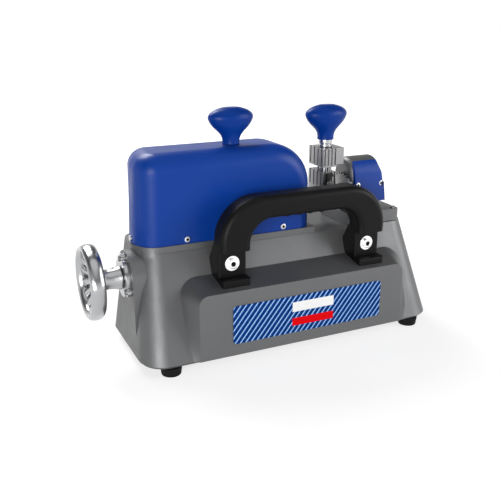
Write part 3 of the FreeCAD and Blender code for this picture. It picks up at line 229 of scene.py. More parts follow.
class GroupSheet(NodeSheet):
    """A node group with named inputs and outputs."""

    def __init__(self, family: str, name: str, inputs: dict[str, Union[Feed, str]],
                 outputs: dict[str, str]) -> None:
        """Makes the group.

        Args:
            family: Shader or Geometry.
            name: The group's name.
            inputs: Default values by name, or the kind of an input that has none.
            outputs: Kinds by name.
        """
        super().__init__(bpy.data.node_groups.new(name, f"{family}NodeTree"))
        face = self.tree.interface
        self.keys: dict[str, str] = {}
        for title, default in inputs.items():
            socket = face.new_socket(title, in_out="INPUT", socket_type=f"NodeSocket{self._kind(default)}")
            if not isinstance(default, str):
                socket.default_value = default
            self.keys[title] = socket.identifier
        for title, kind in outputs.items():
            face.new_socket(title, in_out="OUTPUT", socket_type=f"NodeSocket{kind}")
        self.entry = self.tree.nodes.new("NodeGroupInput").outputs
        self.leave = self.tree.nodes.new("NodeGroupOutput").inputs

    @staticmethod
    def _kind(default: Union[Feed, str]) -> str:
        """The kind of an input; three numbers make a vector, four a colour, a whole number a count."""
        if isinstance(default, str):
            return default
        if isinstance(default, tuple):
            return "Vector" if len(default) == 3 else "Color"
        return "Int" if isinstance(default, int) else "Float"


class Effects:
    """The effects that several finishes share, each built once as a node group."""

    def __init__(self) -> None:
        """Builds the groups."""
        self.grain = self._grain()
        self.tint = self._tint()
        self.field = self._field()

    @staticmethod
    def _grain() -> NodeTree:
        """Two noises, a coarse one for the roughness and a fine one for the height."""
        sheet = GroupSheet("Shader", "surface_grain",
                           {"Coarse": 60.0, "Fine": 900.0, "Smoothest": 0.3, "Roughest": 0.5,
                            "Stretch": (1.0, 1.0, 1.0)},
                           {"Roughness": "Float", "Height": "Float"})
        place = sheet.vector("MULTIPLY", sheet.place(), sheet.entry["Stretch"])
        coarse = sheet.add("ShaderNodeTexNoise", Vector=place, Scale=sheet.entry["Coarse"], Detail=4.0)
        fine = sheet.add("ShaderNodeTexNoise", Vector=place, Scale=sheet.entry["Fine"], Detail=2.0)
        rough = sheet.ramp(coarse, *NOISE_RANGE, sheet.entry["Smoothest"], sheet.entry["Roughest"])
        sheet.feed(sheet.leave["Roughness"], rough)
        sheet.feed(sheet.leave["Height"], fine)
        return sheet.tree

    @staticmethod
    def _tint() -> NodeTree:
        """A colour that drifts a little between two shades, with fine flecks."""
        sheet = GroupSheet("Shader", "tint_drift",
                           {"Dark": (0.1, 0.1, 0.1, 1.0), "Light": (0.2, 0.2, 0.2, 1.0),
                            "Scale": 25.0, "Fleck Scale": 1600.0, "Flecks": 0.3}, {"Color": "Color"})
        place = sheet.place()
        slow = sheet.add("ShaderNodeTexNoise", Vector=place, Scale=sheet.entry["Scale"], Detail=5.0)
        fleck = sheet.add("ShaderNodeTexNoise", Vector=place, Scale=sheet.entry["Fleck Scale"], Detail=1.0)
        offset = sheet.times(sheet.math("SUBTRACT", fleck, 0.5), sheet.entry["Flecks"])
        factor = sheet.math("ADD", slow, offset)
        sheet.feed(sheet.leave["Color"], sheet.blend(factor, sheet.entry["Dark"], sheet.entry["Light"]))
        return sheet.tree

    @staticmethod
    def _field() -> NodeTree:
        """A mask that is 1 inside an upright rectangle of the rear face."""
        sheet = GroupSheet("Shader", "printed_field",
                           {"Centre": (0.0, 0.0, 0.0), "Half": (0.01, 1.0, 0.01)}, {"Mask": "Float"})
        away = sheet.vector("SUBTRACT", sheet.place(), sheet.entry["Centre"])
        room = sheet.vector("SUBTRACT", sheet.entry["Half"], sheet.vector("ABSOLUTE", away))
        parts = sheet.add("ShaderNodeSeparateXYZ", Vector=room).outputs
        inside = sheet.times(sheet.math("GREATER_THAN", parts["X"], 0.0),
                             sheet.math("GREATER_THAN", parts["Z"], 0.0))
        sheet.feed(sheet.leave["Mask"], inside)
        return sheet.tree


@dataclass(frozen=True)
class Print:
    """The label's layout, as shares of its length from the left and of its height from the top.

    Attributes:
        navy: Ground colour.
        pale: Colour of the thin stripes.
        middle: Colour beside the thin stripes.
        pitch: Distance between the stripes along the label, in metres.
        lean: How far a stripe goes along the label for each unit of height.
        middle_rise: Shares of the pitch between which the ground turns to the middle colour.
        line_rise: Shares of the pitch between which a thin stripe starts.
        line_fall: Shares of the pitch between which it ends, from none back to full.
        white_field: Left, right, top and bottom of the white field.
        red_field: Left, right, top and bottom of the red field.
    """

    navy: Triple = (0.0008, 0.03, 0.17)
    pale: Triple = (0.36, 0.58, 0.95)
    middle: Triple = (0.002, 0.06, 0.29)
    pitch: float = 0.0062
    lean: float = 0.79
    middle_rise: Span = (0.42, 0.5)
    line_rise: Span = (0.66, 0.72)
    line_fall: Span = (0.98, 0.92)
    white_field: tuple[float, float, float, float] = (0.38, 0.66, 0.17, 0.43)
    red_field: tuple[float, float, float, float] = (0.38, 0.66, 0.6, 0.81)

    def colour(self, sheet: NodeSheet, effects: Effects) -> NodeSocket:
        """Draws the label.

        Args:
            sheet: The material's nodes.
            effects: The shared groups.

        Returns:
            The label's colour.
        """
        parts = sheet.add("ShaderNodeSeparateXYZ", Vector=sheet.place()).outputs
        along = sheet.math("ADD", parts["X"], sheet.times(parts["Z"], self.lean))
        stripe = sheet.math("FRACT", sheet.math("DIVIDE", along, self.pitch))
        line = sheet.times(sheet.ramp(stripe, *self.line_rise), sheet.ramp(stripe, *self.line_fall))
        ground = sheet.blend(sheet.ramp(stripe, *self.middle_rise), (*self.navy, 1.0), (*self.middle, 1.0))
        ground = sheet.blend(line, ground, (*self.pale, 1.0))
        lowest, highest = box_of("label_plate")
        size = highest - lowest
        for area, colour in ((self.white_field, LABEL_WHITE), (self.red_field, LABEL_RED)):
            left, right, top, bottom = area
            centre = (highest.x - size.x * (left + right) / 2, highest.y,
                      highest.z - size.z * (top + bottom) / 2)
            half = (size.x * (right - left) / 2, 1.0, size.z * (bottom - top) / 2)
            mask = sheet.add("ShaderNodeGroup", {"node_tree": effects.field}, Centre=centre, Half=half)
            ground = sheet.blend(mask, ground, colour)
        return ground


@dataclass(frozen=True)
class Finish:
    """How a surface looks.

    Attributes:
        name: The material's name.
        colour: The base colour, linear.
        drift: How far the colour moves to either side, as a share.
        smoothest: Lowest roughness.
        roughest: Highest roughness.
        metallic: 1 for bare metal.
        specular: Level of the mirror-like reflection of a surface that isn't metal.
        coat: Weight of a clear coat.
        grain: Depth of the bump, from 0 to 1.
        coarse: Scale of the roughness noise.
        fine: Scale of the bump noise.
        flecks: Strength of fine flecks in the colour.
        stretch: Stretch of the grain along X, Y and Z, for brushed metal.
        pattern: What else the surface shows.
    """

    name: str
    colour: Triple
    drift: float = 0.06
    smoothest: float = 0.3
    roughest: float = 0.45
    metallic: float = 0.0
    specular: float = 0.5
    coat: float = 0.0
    grain: float = 0.1
    coarse: float = 40.0
    fine: float = 900.0
    flecks: float = 0.2
    stretch: Triple = (1.0, 1.0, 1.0)
    pattern: Pattern = Pattern.PLAIN

    def shade(self, factor: float) -> tuple[float, float, float, float]:
        """The base colour times a factor, with full alpha."""
        red, green, blue = (min(1.0, part * factor) for part in self.colour)
        return red, green, blue, 1.0

    def build(self, effects: Effects) -> Material:
        """Makes the material.

        Args:
            effects: The shared node groups.

        Returns:
            The material with its nodes.
        """
        material = bpy.data.materials.new(self.name)
        material.use_nodes = True
        sheet = NodeSheet(material.node_tree)
        shader = material.node_tree.nodes["Principled BSDF"].inputs
        shader["Metallic"].default_value = self.metallic
        shader["Specular IOR Level"].default_value = self.specular
        shader["Coat Weight"].default_value = self.coat
        shader["Coat Roughness"].default_value = COAT_ROUGHNESS
        grain = sheet.add("ShaderNodeGroup", {"node_tree": effects.grain}, Coarse=self.coarse, Fine=self.fine,
                          Smoothest=self.smoothest, Roughest=self.roughest, Stretch=self.stretch)
        sheet.feed(shader["Roughness"], grain.outputs["Roughness"])
        bump = sheet.add("ShaderNodeBump", Strength=self.grain, Distance=GRAIN_DEPTH,
                         Height=grain.outputs["Height"])
        sheet.feed(shader["Normal"], bump)
        sheet.feed(shader["Base Color"], self._colour(sheet, effects))
        return material

    def _colour(self, sheet: NodeSheet, effects: Effects) -> NodeSocket:
        """The finish's colour over the surface."""
        if self.pattern is Pattern.LABEL:
            return Print().colour(sheet, effects)
        tint = sheet.add("ShaderNodeGroup", {"node_tree": effects.tint}, Dark=self.shade(1.0 - self.drift),
                         Light=self.shade(1.0 + self.drift), Flecks=self.flecks).outputs["Color"]
        if self.pattern is Pattern.BOARD:
            tracks = sheet.add("ShaderNodeTexBrick", Vector=sheet.place(), Scale=120.0, Mortar_Size=0.03)
            return sheet.blend(tracks.outputs["Fac"], tint, TRACKS)
        if self.metallic < 1.0:
            return tint
        # Tone above 0 brightens plated metal; tone below 0 paints the shade that falls in a screw's socket.
        tone = sheet.add("ShaderNodeAttribute", {"attribute_name": TONE}).outputs["Fac"]
        bright = sheet.blend(sheet.ramp(tone, 0.0, 1.0), tint, PLATED)
        return sheet.blend(sheet.ramp(tone, 0.0, -1.0), bright, SOCKET_PAINTED_SHADE)


FINISHES: dict[str, Finish] = {
    "casting": Finish("grey_casting_paint", (0.155, 0.157, 0.16), 0.06, 0.41, 0.51, metallic=0.62,
                      specular=0.3, grain=0.16, fine=1500.0, flecks=0.5),
    "blue_shell": Finish("blue_enamel", (0.001, 0.043, 0.3), 0.05, 0.36, 0.44, specular=0.24, coat=0.02,
                         grain=0.015, fine=500.0),
    "blue_knob": Finish("blue_knob_plastic", (0.0008, 0.036, 0.26), 0.05, 0.34, 0.42, specular=0.14,
                        coat=0.03, grain=0.02),
    "handle": Finish("black_handle_plastic", (0.0045, 0.0045, 0.005), 0.1, 0.36, 0.48, specular=0.13,
                     grain=0.1, fine=1800.0),
    "rubber": Finish("foot_rubber", (0.008, 0.008, 0.008), 0.15, 0.65, 0.85, specular=0.15, grain=0.3),
    "chrome": Finish("polished_chrome", (0.44, 0.445, 0.455), 0.03, 0.2, 0.28, metallic=1.0, grain=0.01),
    "steel": Finish("machined_steel", (0.28, 0.28, 0.285), 0.1, 0.26, 0.4, metallic=1.0, grain=0.08,
                    stretch=(1.0, 1.0, 0.06)),
    "plate": Finish("grey_plate_paint", (0.1, 0.1, 0.105), 0.1, 0.4, 0.55, grain=0.2),
    "label": Finish("printed_label", (0.02, 0.04, 0.22), 0.04, 0.25, 0.35, specular=0.06, grain=0.02,
                    pattern=Pattern.LABEL),
    "bronze": Finish("bearing_bronze", (0.5, 0.33, 0.14), 0.12, 0.25, 0.42, metallic=1.0, grain=0.08),
    "aluminium": Finish("cast_aluminium", (0.56, 0.57, 0.59), 0.07, 0.25, 0.4, metallic=1.0, grain=0.12),
    "belt": Finish("belt_rubber", (0.015, 0.015, 0.015), 0.2, 0.55, 0.75, grain=0.3),
    "board": Finish("board_resin", (0.02, 0.13, 0.06), 0.15, 0.3, 0.5, grain=0.1, pattern=Pattern.BOARD),
    "black_plastic": Finish("black_moulding", (0.01, 0.01, 0.011), 0.1, 0.35, 0.5, specular=0.25, grain=0.15),
}


class FormSheet(GroupSheet):
    """A geometry node tree with named inputs for its sizes."""

    def __init__(self, name: str, inputs: dict[str, Feed]) -> None:
        """Makes the tree, with default values by name."""
        super().__init__("Geometry", name, {"Geometry": "Geometry", **inputs, "Material": "Material"},
                         {"Geometry": "Geometry"})

    def spot(self) -> dict[str, NodeSocket]:
        """The place of each point, split into X, Y and Z."""
        place = self.add("GeometryNodeInputPosition").outputs["Position"]
        parts = self.add("ShaderNodeSeparateXYZ", Vector=place).outputs
        return {axis: parts[axis] for axis in "XYZ"}

    def join(self, *parts: Feed) -> Node:
        """Puts several geometries together."""
        node = self.add("GeometryNodeJoinGeometry")
        for part in parts:
            self.feed(node.inputs["Geometry"], part)
        return node

    def shaped(self, mesh: Feed, x: Feed, y: Feed, z: Feed) -> Node:
        """Moves a mesh's points and closes its seams.

        Args:
            mesh: The mesh.
            x: New X of each point.
            y: New Y of each point.
            z: New Z of each point.

        Returns:
            The node of the shaped mesh.
        """
        place = self.add("ShaderNodeCombineXYZ", X=x, Y=y, Z=z)
        moved = self.add("GeometryNodeSetPosition", Geometry=mesh, Position=place)
        return self.add("GeometryNodeMergeByDistance", Geometry=moved, Distance=MERGE)

    def finish(self, geometry: Feed) -> None:
        """Ends the tree in real geometry with its material."""
        real = self.add("GeometryNodeRealizeInstances", Geometry=geometry)
        painted = self.add("GeometryNodeSetMaterial", Geometry=real, Material=self.entry["Material"])
        self.feed(self.leave["Geometry"], painted)

    def make(self, name: str, values: dict[str, Feed], paint: Material,
             base: Optional[Mesh] = None) -> Mesh:
        """Runs the tree and keeps its result as a plain mesh.

        Args:
            name: The mesh's name.
            values: Inputs by name.
            paint: The material.
            base: What the tree starts from, where it needs anything.

        Returns:
            The mesh, with no modifier left.
        """
        holder = put(name, base or bpy.data.meshes.new(name))
        modifier = holder.modifiers.new(name, "NODES")
        modifier.node_group = self.tree
        for title, value in {**values, "Material": paint}.items():
            modifier[self.keys[title]] = value
        graph = bpy.context.evaluated_depsgraph_get()
        mesh = bpy.data.meshes.new_from_object(holder.evaluated_get(graph), depsgraph=graph)
        bpy.data.objects.remove(holder)
        mesh.name = name
        return mesh


class Forms:
    """The geometry node trees, each built once."""

    def __init__(self) -> None:
        """Builds the trees."""
        self.screws = self._screws()
        self.ring = self._lobed_ring()
        self.spokes = self._spokes()

    @staticmethod
    def _screws() -> FormSheet:
        """Round-headed screws with a socket, one on each point, along the point's axis."""
        sheet = FormSheet("screw_set", {"Head Radius": 0.003, "Head Height": 0.0015, "Dome": 0.0003,
                                        "Socket Depth": 0.0009, "Shank Radius": 0.0015, "Shank Length": 0.006,
                                        "Head Tone": 0.0})
        entry = sheet.entry
        head = sheet.add("GeometryNodeMeshCylinder", {"fill_type": "TRIANGLE_FAN"}, Vertices=24,
                         Side_Segments=2, Fill_Segments=8, Radius=entry["Head Radius"],
                         Depth=entry["Head Height"])
        spot = sheet.spot()
        reach = sheet.math("SQRT", sheet.math("ADD", sheet.math("POWER", spot["X"], 2.0),
                                              sheet.math("POWER", spot["Y"], 2.0)))
        share = sheet.math("DIVIDE", reach, entry["Head Radius"])
        fall = sheet.math("SUBTRACT", 1.0, sheet.math("POWER", share, 4.0))
        dome = sheet.times(entry["Dome"], fall)
        socket = sheet.times(entry["Socket Depth"], sheet.math("LESS_THAN", share, SOCKET_SHARE))
        rise = sheet.times(sheet.math("SUBTRACT", dome, socket), sheet.math("GREATER_THAN", spot["Z"], MERGE))
        seat = sheet.math("ADD", sheet.math("ADD", spot["Z"], rise),
                          sheet.math("DIVIDE", entry["Head Height"], 2.0))
        head = sheet.shaped(head, spot["X"], spot["Y"], seat)
        # The socket's bottom gets tone -1, which paints it with shade; the rest of the head gets its plating
        # tone.
        tone = sheet.ramp(share, *SOCKET_SHADE, -1.0, entry["Head Tone"])
        head = sheet.add("GeometryNodeStoreNamedAttribute", {"data_type": "FLOAT", "domain": "POINT"},
                         Geometry=head, Name=TONE, Value=tone)
        shank = sheet.add("GeometryNodeMeshCylinder", Vertices=16, Side_Segments=1, Fill_Segments=1,
                          Radius=entry["Shank Radius"], Depth=entry["Shank Length"])
        drop = sheet.add("ShaderNodeCombineXYZ", Z=sheet.times(entry["Shank Length"], -0.5))
        shank = sheet.add("GeometryNodeTransform", Geometry=shank, Translation=drop)
        axis = sheet.add("GeometryNodeInputNamedAttribute", {"data_type": "FLOAT_VECTOR"}, Name="axis")
        turn = sheet.add("FunctionNodeAlignRotationToVector", {"axis": "Z"}, Vector=axis.outputs["Attribute"])
        sheet.finish(sheet.add("GeometryNodeInstanceOnPoints", Points=entry["Geometry"],
                               Instance=sheet.join(head, shank), Rotation=turn))
        return sheet

    @staticmethod
    def _lobed_ring() -> FormSheet:
        """A ring with a rounded section and finger grooves round its outside, about Z."""
        sheet = FormSheet("lobed_ring", {"Radius": 0.0385, "Rim": 0.008, "Width": 0.015, "Lobes": 9,
                                         "Lobe Depth": 0.0016, "Squareness": 0.95, "Around": 217})
        entry = sheet.entry
        grid = sheet.add("GeometryNodeMeshGrid", Size_X=1.0, Size_Y=1.0, Vertices_X=entry["Around"],
                         Vertices_Y=29)
        spot = sheet.spot()
        around = sheet.times(sheet.math("ADD", spot["X"], 0.5), math.tau)
        section = sheet.times(sheet.math("ADD", spot["Y"], 0.5), -math.tau)

        def squared(value: NodeSocket) -> NodeSocket:
            """Makes a wave squarer."""
            size = sheet.math("POWER", sheet.math("ABSOLUTE", value), entry["Squareness"])
            return sheet.times(sheet.math("SIGN", value), size)

        across = sheet.math("COSINE", section)
        half_rim = sheet.math("DIVIDE", entry["Rim"], 2.0)
        half_width = sheet.math("DIVIDE", entry["Width"], 2.0)
        wave = sheet.math("COSINE", sheet.times(around, entry["Lobes"]))
        groove = sheet.times(sheet.times(sheet.ramp(wave, -1.0, 1.0), entry["Lobe Depth"]),
                             sheet.ramp(across, 0.0, GROOVE_FULL, smooth=True))
        middle = sheet.math("SUBTRACT", entry["Radius"], half_rim)
        outer = sheet.math("ADD", middle, sheet.times(half_rim, squared(across)))
        reach = sheet.math("SUBTRACT", outer, groove)
        height = sheet.math("ADD", half_width, sheet.times(half_width, squared(sheet.math("SINE", section))))
        ring = sheet.shaped(grid, sheet.times(reach, sheet.math("COSINE", around)),
                            sheet.times(reach, sheet.math("SINE", around)), height)
        sheet.finish(ring)
        return sheet

    @staticmethod
    def _spokes() -> FormSheet:
        """Tapered spokes from a trumpet hub, about Z."""
        sheet = FormSheet("spoke_set", {"Spokes": 15, "Inner Radius": 0.0095, "Outer Radius": 0.0325,
                                        "Inner Half Width": 0.0017, "Outer Half Width": 0.0042,
                                        "Half Thickness": 0.0025, "Inner Height": 0.0, "Outer Height": 0.009,
                                        "Hub Start": -0.0227, "Hub Length": 0.0302})
        entry = sheet.entry
        grid = sheet.add("GeometryNodeMeshGrid", Size_X=1.0, Size_Y=1.0, Vertices_X=9, Vertices_Y=17)
        spot = sheet.spot()
        share = sheet.math("ADD", spot["X"], 0.5)
        section = sheet.times(sheet.math("ADD", spot["Y"], 0.5), math.tau)

        def between(title: str) -> NodeSocket:
            """A size along the spoke."""
            return sheet.ramp(share, 0.0, 1.0, entry[f"Inner {title}"], entry[f"Outer {title}"])

        side = sheet.times(between("Half Width"), sheet.math("COSINE", section))
        depth = sheet.math("ADD", between("Height"),
                           sheet.times(entry["Half Thickness"], sheet.math("SINE", section)))
        spoke = sheet.shaped(grid, between("Radius"), side, depth)
        index = sheet.add("GeometryNodeInputIndex")
        angle = sheet.math("DIVIDE", sheet.times(index, math.tau), entry["Spokes"])
        points = sheet.add("GeometryNodePoints", Count=entry["Spokes"])
        turn = sheet.add("FunctionNodeEulerToRotation", Euler=sheet.add("ShaderNodeCombineXYZ", Z=angle))
        placed = sheet.add("GeometryNodeInstanceOnPoints", Points=points, Instance=spoke, Rotation=turn)

        drum = sheet.add("GeometryNodeMeshCylinder", Vertices=64, Side_Segments=40, Fill_Segments=1,
                         Radius=1.0, Depth=1.0)
        spot = sheet.spot()
        along = sheet.math("ADD", spot["Z"], 0.5)
        outline = sheet.add("ShaderNodeFloatCurve", Value=along)
        knots = outline.mapping.curves[0].points
        knots[0].location, *inner, knots[1].location = HUB_OUTLINE
        for place in inner:
            knots.new(*place)
        outline.mapping.update()
        reach = sheet.times(outline, HUB_REACH)
        height = sheet.math("ADD", entry["Hub Start"], sheet.times(along, entry["Hub Length"]))
        hub = sheet.shaped(drum, sheet.times(spot["X"], reach),
                           sheet.times(spot["Y"], reach), height)
        sheet.finish(sheet.join(placed, hub))
        return sheet


@dataclass
class ScrewPlace:
    """One screw of a CAD node.

    Attributes:
        seat: The middle of the head's underside.
        axis: The direction from the shank to the head.
        sizes: Sizes of its head and shank, by their names in the screw tree.
    """

    seat: Vector
    axis: Vector
    sizes: dict[str, float]


def loose_parts(node: str) -> list[list[Vector]]:
    """Splits a CAD node into its separate solids.

    Args:
        node: The CAD node.

    Returns:
        The points of each solid.
    """
    shell = merged(node)
    left = set(shell.verts)
    parts = []
    while left:
        open_points = [left.pop()]
        found = []
        while open_points:
            point = open_points.pop()
            found.append(point.co.copy())
            for edge in point.link_edges:
                other = edge.other_vert(point)
                if other in left:
                    left.remove(other)
                    open_points.append(other)
        parts.append(found)
    shell.free()
    return sorted(parts, key=lambda part: tuple(round(value, 5) for value in sum(part, Vector()) / len(part)))


def read_screw(points: list[Vector]) -> ScrewPlace:
    """Reads a screw's place and sizes from its points.

    Args:
        points: The points of the CAD solid.

    Returns:
        The screw.
    """
    lowest = Vector(min(point[axis] for point in points) for axis in range(3))
    highest = Vector(max(point[axis] for point in points) for axis in range(3))
    size = highest - lowest
    along = min(range(3), key=lambda axis: abs(size[(axis + 1) % 3] - size[(axis + 2) % 3]))
    middle = (lowest + highest) / 2

    def reach(point: Vector) -> float:
        """A point's distance from the screw's middle line."""
        return math.hypot(*(point[axis] - middle[axis] for axis in range(3) if axis != along))

    head_radius = max(reach(point) for point in points)
    head = [point[along] for point in points if reach(point) > HEAD_SHARE * head_radius]
    shank_radius = max(reach(point) for point in points if reach(point) < HEAD_SHARE * head_radius)
    towards = 1.0 if max(head) > highest[along] - MERGE else -1.0
    seat = middle.copy()
    seat[along] = min(head) if towards > 0 else max(head)
    axis = Vector((0.0, 0.0, 0.0))
    axis[along] = towards
    head_height = max(head) - min(head)
    return ScrewPlace(seat, axis, {"Head Radius": head_radius, "Head Height": head_height,
                                   "Shank Radius": shank_radius, "Shank Length": size[along] - head_height})


def domed(node: str, start: float = 0.68, pull: float = 0.72) -> Shape:
    """Draws a knob's top in, so that it ends in a dome.

    Args:
        node: The CAD node of the knob.
        start: Where the dome starts, as a share of the knob's height.
        pull: How far the top is drawn in, from 0 to 1.

    Returns:
        The knob's finished form.
    """
    lowest, highest = box_of(node)
    middle = (lowest + highest) / 2

    def moved(point: Vector) -> Vector:
        """Draws a point in where it lies in the dome."""
        share = (point.z - lowest.z) / (highest.z - lowest.z)
        up = max(0.0, (share - start) / (1.0 - start))
        reach = math.sqrt(1.0 - pull * min(up, 1.0) ** 2)
        away = (point - middle) * reach
        return Vector((middle.x + away.x, middle.y + away.y, point.z))

    return moved


class Workshop:
    """Holds the finished materials and makes objects for the pieces."""

    def __init__(self) -> None:
        """Builds the shared groups, every finish and the node trees."""
        effects = Effects()
        self.materials = {slot: finish.build(effects) for slot, finish in FINISHES.items()}
        self.slots = {part["node"]: part["material_slot"] for part in frame["record"]["subparts"]}
        self.forms = Forms()

    def paint(self, node: str) -> Material:
        """The material of a CAD node."""
        return self.materials[self.slots[node]]

    def place(self, mesh: Mesh, node: str) -> Object:
        """Puts a mesh in the scene in place of a CAD node.

        Args:
            mesh: The finished mesh, in the row frame.
            node: The CAD node that it stands for.

        Returns:
            The new object, riding on the node's body.
        """
        piece = put(f"{node}_finished", mesh)
        mesh.materials.clear()
        mesh.materials.append(self.paint(node))
        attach(piece, frame["nodes"][node]["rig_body"])
        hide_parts(node)
        log.info("%s stands for %s", piece.name, node)
        return piece

    def copy(self, node: str) -> Mesh:
        """A merged copy of a CAD node's mesh, with its flat faces made whole."""
        shell = merged(node)
        bmesh.ops.dissolve_limit(shell, angle_limit=FLAT_ANGLE, verts=shell.verts, edges=shell.edges)
        mesh = bpy.data.meshes.new(f"{node}_form")
        shell.to_mesh(mesh)
        shell.free()
        mesh.polygons.foreach_set("use_smooth", [True] * len(mesh.polygons))
        return mesh

    def refine(self, node: str, edge: float, shape: Optional[Shape] = None) -> Object:
        """Makes a clean copy of a CAD node with softened edges.

        Args:
            node: The CAD node.
            edge: Width of the softened edges in metres.
            shape: Gives a point's place in the finished form, where that differs from the CAD.

        Returns:
            The new piece, which stands for the node.
        """
        mesh = self.copy(node)
        if shape:
            for point in mesh.vertices:
                point.co = shape(point.co)
        piece = self.place(mesh, node)
        bevel = piece.modifiers.new("softened_edges", "BEVEL")
        bevel.width = edge
        bevel.segments = 2
        bevel.limit_method = "ANGLE"
        bevel.angle_limit = BEVEL_ANGLE
        normals = piece.modifiers.new("even_normals", "WEIGHTED_NORMAL")
        normals.keep_sharp = True
        return piece

    def screws(self, node: str, tone: float = 0.0, dome: float = 0.2) -> None:
        """Makes a node's screws with rounded heads and sockets.

        Args:
            node: The CAD node of the screws.
            tone: How bright the heads are plated, from 0 to 1.
            dome: Rise of the head's middle, as a share of the head's height.
        """
        places = [read_screw(part) for part in loose_parts(node)]
        points = bpy.data.meshes.new(f"{node}_points")
        points.from_pydata([screw.seat for screw in places], [], [])
        axes = points.attributes.new("axis", "FLOAT_VECTOR", "POINT")
        axes.data.foreach_set("vector", [part for screw in places for part in screw.axis])
        sizes = places[0].sizes
        height = sizes["Head Height"]
        values = {**sizes, "Dome": height * dome, "Socket Depth": height * SOCKET_DEPTH, "Head Tone": tone}
        mesh = self.forms.screws.make(f"{node}_form", values, self.paint(node), points)
        self.place(self.smoothed(mesh), node)

    def lay(self, node: str, meshes: Iterable[Mesh], start: float, crease: float = 40.0) -> None:
        """Turns meshes about Z so that they lie about X, and joins them into one piece.

        Args:
            node: The CAD node that they stand for.
            meshes: The meshes, about Z at the origin.
            start: The X that their origin goes to, on the node's middle line.
            crease: Angle in degrees above which an edge stays sharp.
        """
        shell = bmesh.new()
        for mesh in meshes:
            shell.from_mesh(mesh)
        lowest, highest = box_of(node)
        middle = (start, (lowest.y + highest.y) / 2, (lowest.z + highest.z) / 2)
        turn = Matrix.Translation(middle) @ Matrix.Rotation(math.radians(90), 4, "Y")
        bmesh.ops.transform(shell, matrix=turn, verts=shell.verts)
        bmesh.ops.recalc_face_normals(shell, faces=shell.faces)
        joined = bpy.data.meshes.new(f"{node}_form")
        shell.to_mesh(joined)
        shell.free()
        self.place(self.smoothed(joined, crease), node)

    @staticmethod
    def smoothed(mesh: Mesh, crease: float = 40.0) -> Mesh:
        """Shades a mesh smooth, with its sharper edges kept."""
        mesh.polygons.foreach_set("use_smooth", [True] * len(mesh.polygons))
        mesh.set_sharp_from_angle(angle=math.radians(crease))
        return mesh


class Assembly:
    """Pieces that are finished together.

    Attributes:
        edges: Softened edges, in millimetres, of the pieces that keep their CAD form.
    """

    edges: ClassVar[dict[str, float]] = {}

    def build(self, shop: Workshop) -> None:
        """Makes the pieces."""
        for node, edge in self.edges.items():
            shop.refine(node, edge * MM)


class CastBase(Assembly):
    """The casting with its label, bottom plate and feet."""

    edges = {"base_casting": 1.2, "base_plate": 0.5, "feet": 0.8, "label_plate": 0.2}

    def build(self, shop: Workshop) -> None:
        """Makes the pieces."""
        super().build(shop)
        shop.screws("foot_screws", dome=0.0)
        shop.screws("plate_screws")


class Hood(Assembly):
    """The blue hood with its screws and the knob on its top."""

    edges = {"hood": 0.6, "lock_bush": 0.3, "lock_screw": 0.3}

    def build(self, shop: Workshop) -> None:
        """Makes the pieces."""
        super().build(shop)
        shop.refine("lock_knob", KNOB_EDGE, domed("lock_knob"))
        shop.screws("hood_screws", tone=0.6)


@dataclass
class CarryHandle(Assembly):
    """The black handle with its washers and screws.

    Attributes:
        edge: Softened edges of the handle.
        arch_front: Y of the arch's far side.
        shoulder_height: Height of the feet above the ledge from which their tops are shoulders.
        shoulder_slope: How far a shoulder drops for each unit behind the arch.
        washer_edge: Softened edges of the washers.
    """

    edge: float = 1.0 * MM
    arch_front: float = 37.8 * MM
    shoulder_height: float = 38 * MM
    shoulder_slope: float = 2.2
    washer_edge: float = 0.3 * MM

    def build(self, shop: Workshop) -> None:
        """Makes the pieces."""
        shop.refine("carry_handle", self.edge, self.lowered())
        washers = shop.refine("handle_washers", self.washer_edge)
        tones = washers.data.attributes.new(TONE, "FLOAT", "POINT")
        tones.data.foreach_set("value", [1.0] * len(washers.data.vertices))
        shop.screws("handle_screws", tone=1.0)

    def lowered(self) -> Shape:
        """Slopes the feet's shoulders down to the casting's wall, behind the arch."""
        floor = box_of("carry_handle")[0].z + self.shoulder_height

        def moved(point: Vector) -> Vector:
            """Drops a point that lies on a shoulder."""
            behind = max(0.0, self.arch_front - point.y)
            drop = behind * self.shoulder_slope if point.z > floor else 0.0
            return Vector((point.x, point.y, point.z - drop))

        return moved


@dataclass
class FeedDrive(Assembly):
    """The handwheel and what it moves.

    Attributes:
        rim: Depth of the wheel's rim.
        rim_width: Width of the rim along the screw.
        lobes: Finger grooves round the rim.
        lobe_depth: Depth of a finger groove.
        spokes: Spokes of the wheel.
        hub_reach: How far the hub goes into the rim.
        crease: Angle in degrees above which an edge of the wheel stays sharp.
    """

    rim: float = 9 * MM
    rim_width: float = 15 * MM
    lobes: int = 9
    lobe_depth: float = 0.7 * MM
    spokes: int = 15
    hub_reach: float = 3 * MM
    crease: float = 70.0
    edges = {"feed_bush": 0.6, "wheel_set_screw": 0.2, "feed_end_block": 0.8, "feed_screw": 0.6,
             "feed_yoke": 0.8, "feed_nut": 0.4, "ram_way": 0.6, "ram_gibs": 0.4, "ram": 0.6}

    def build(self, shop: Workshop) -> None:
        """Makes the pieces."""
        self.wheel(shop)
        super().build(shop)
        shop.screws("bush_screws")

    def wheel(self, shop: Workshop) -> None:
        """The chrome wheel: a lobed rim, tapered spokes and a trumpet hub."""
        lowest, highest = box_of("handwheel")
        paint = shop.paint("handwheel")
        sizes = {"Radius": (highest.y - lowest.y) / 2, "Rim": self.rim, "Width": self.rim_width,
                 "Lobes": self.lobes, "Lobe Depth": self.lobe_depth}
        rim = shop.forms.ring.make("wheel_rim", sizes, paint)
        back = highest.x - self.rim_width - lowest.x
        sizes = {"Spokes": self.spokes, "Hub Start": -back, "Hub Length": back + self.hub_reach}
        spokes = shop.forms.spokes.make("wheel_spokes", sizes, paint)
        shop.lay("handwheel", (rim, spokes), highest.x - self.rim_width, self.crease)


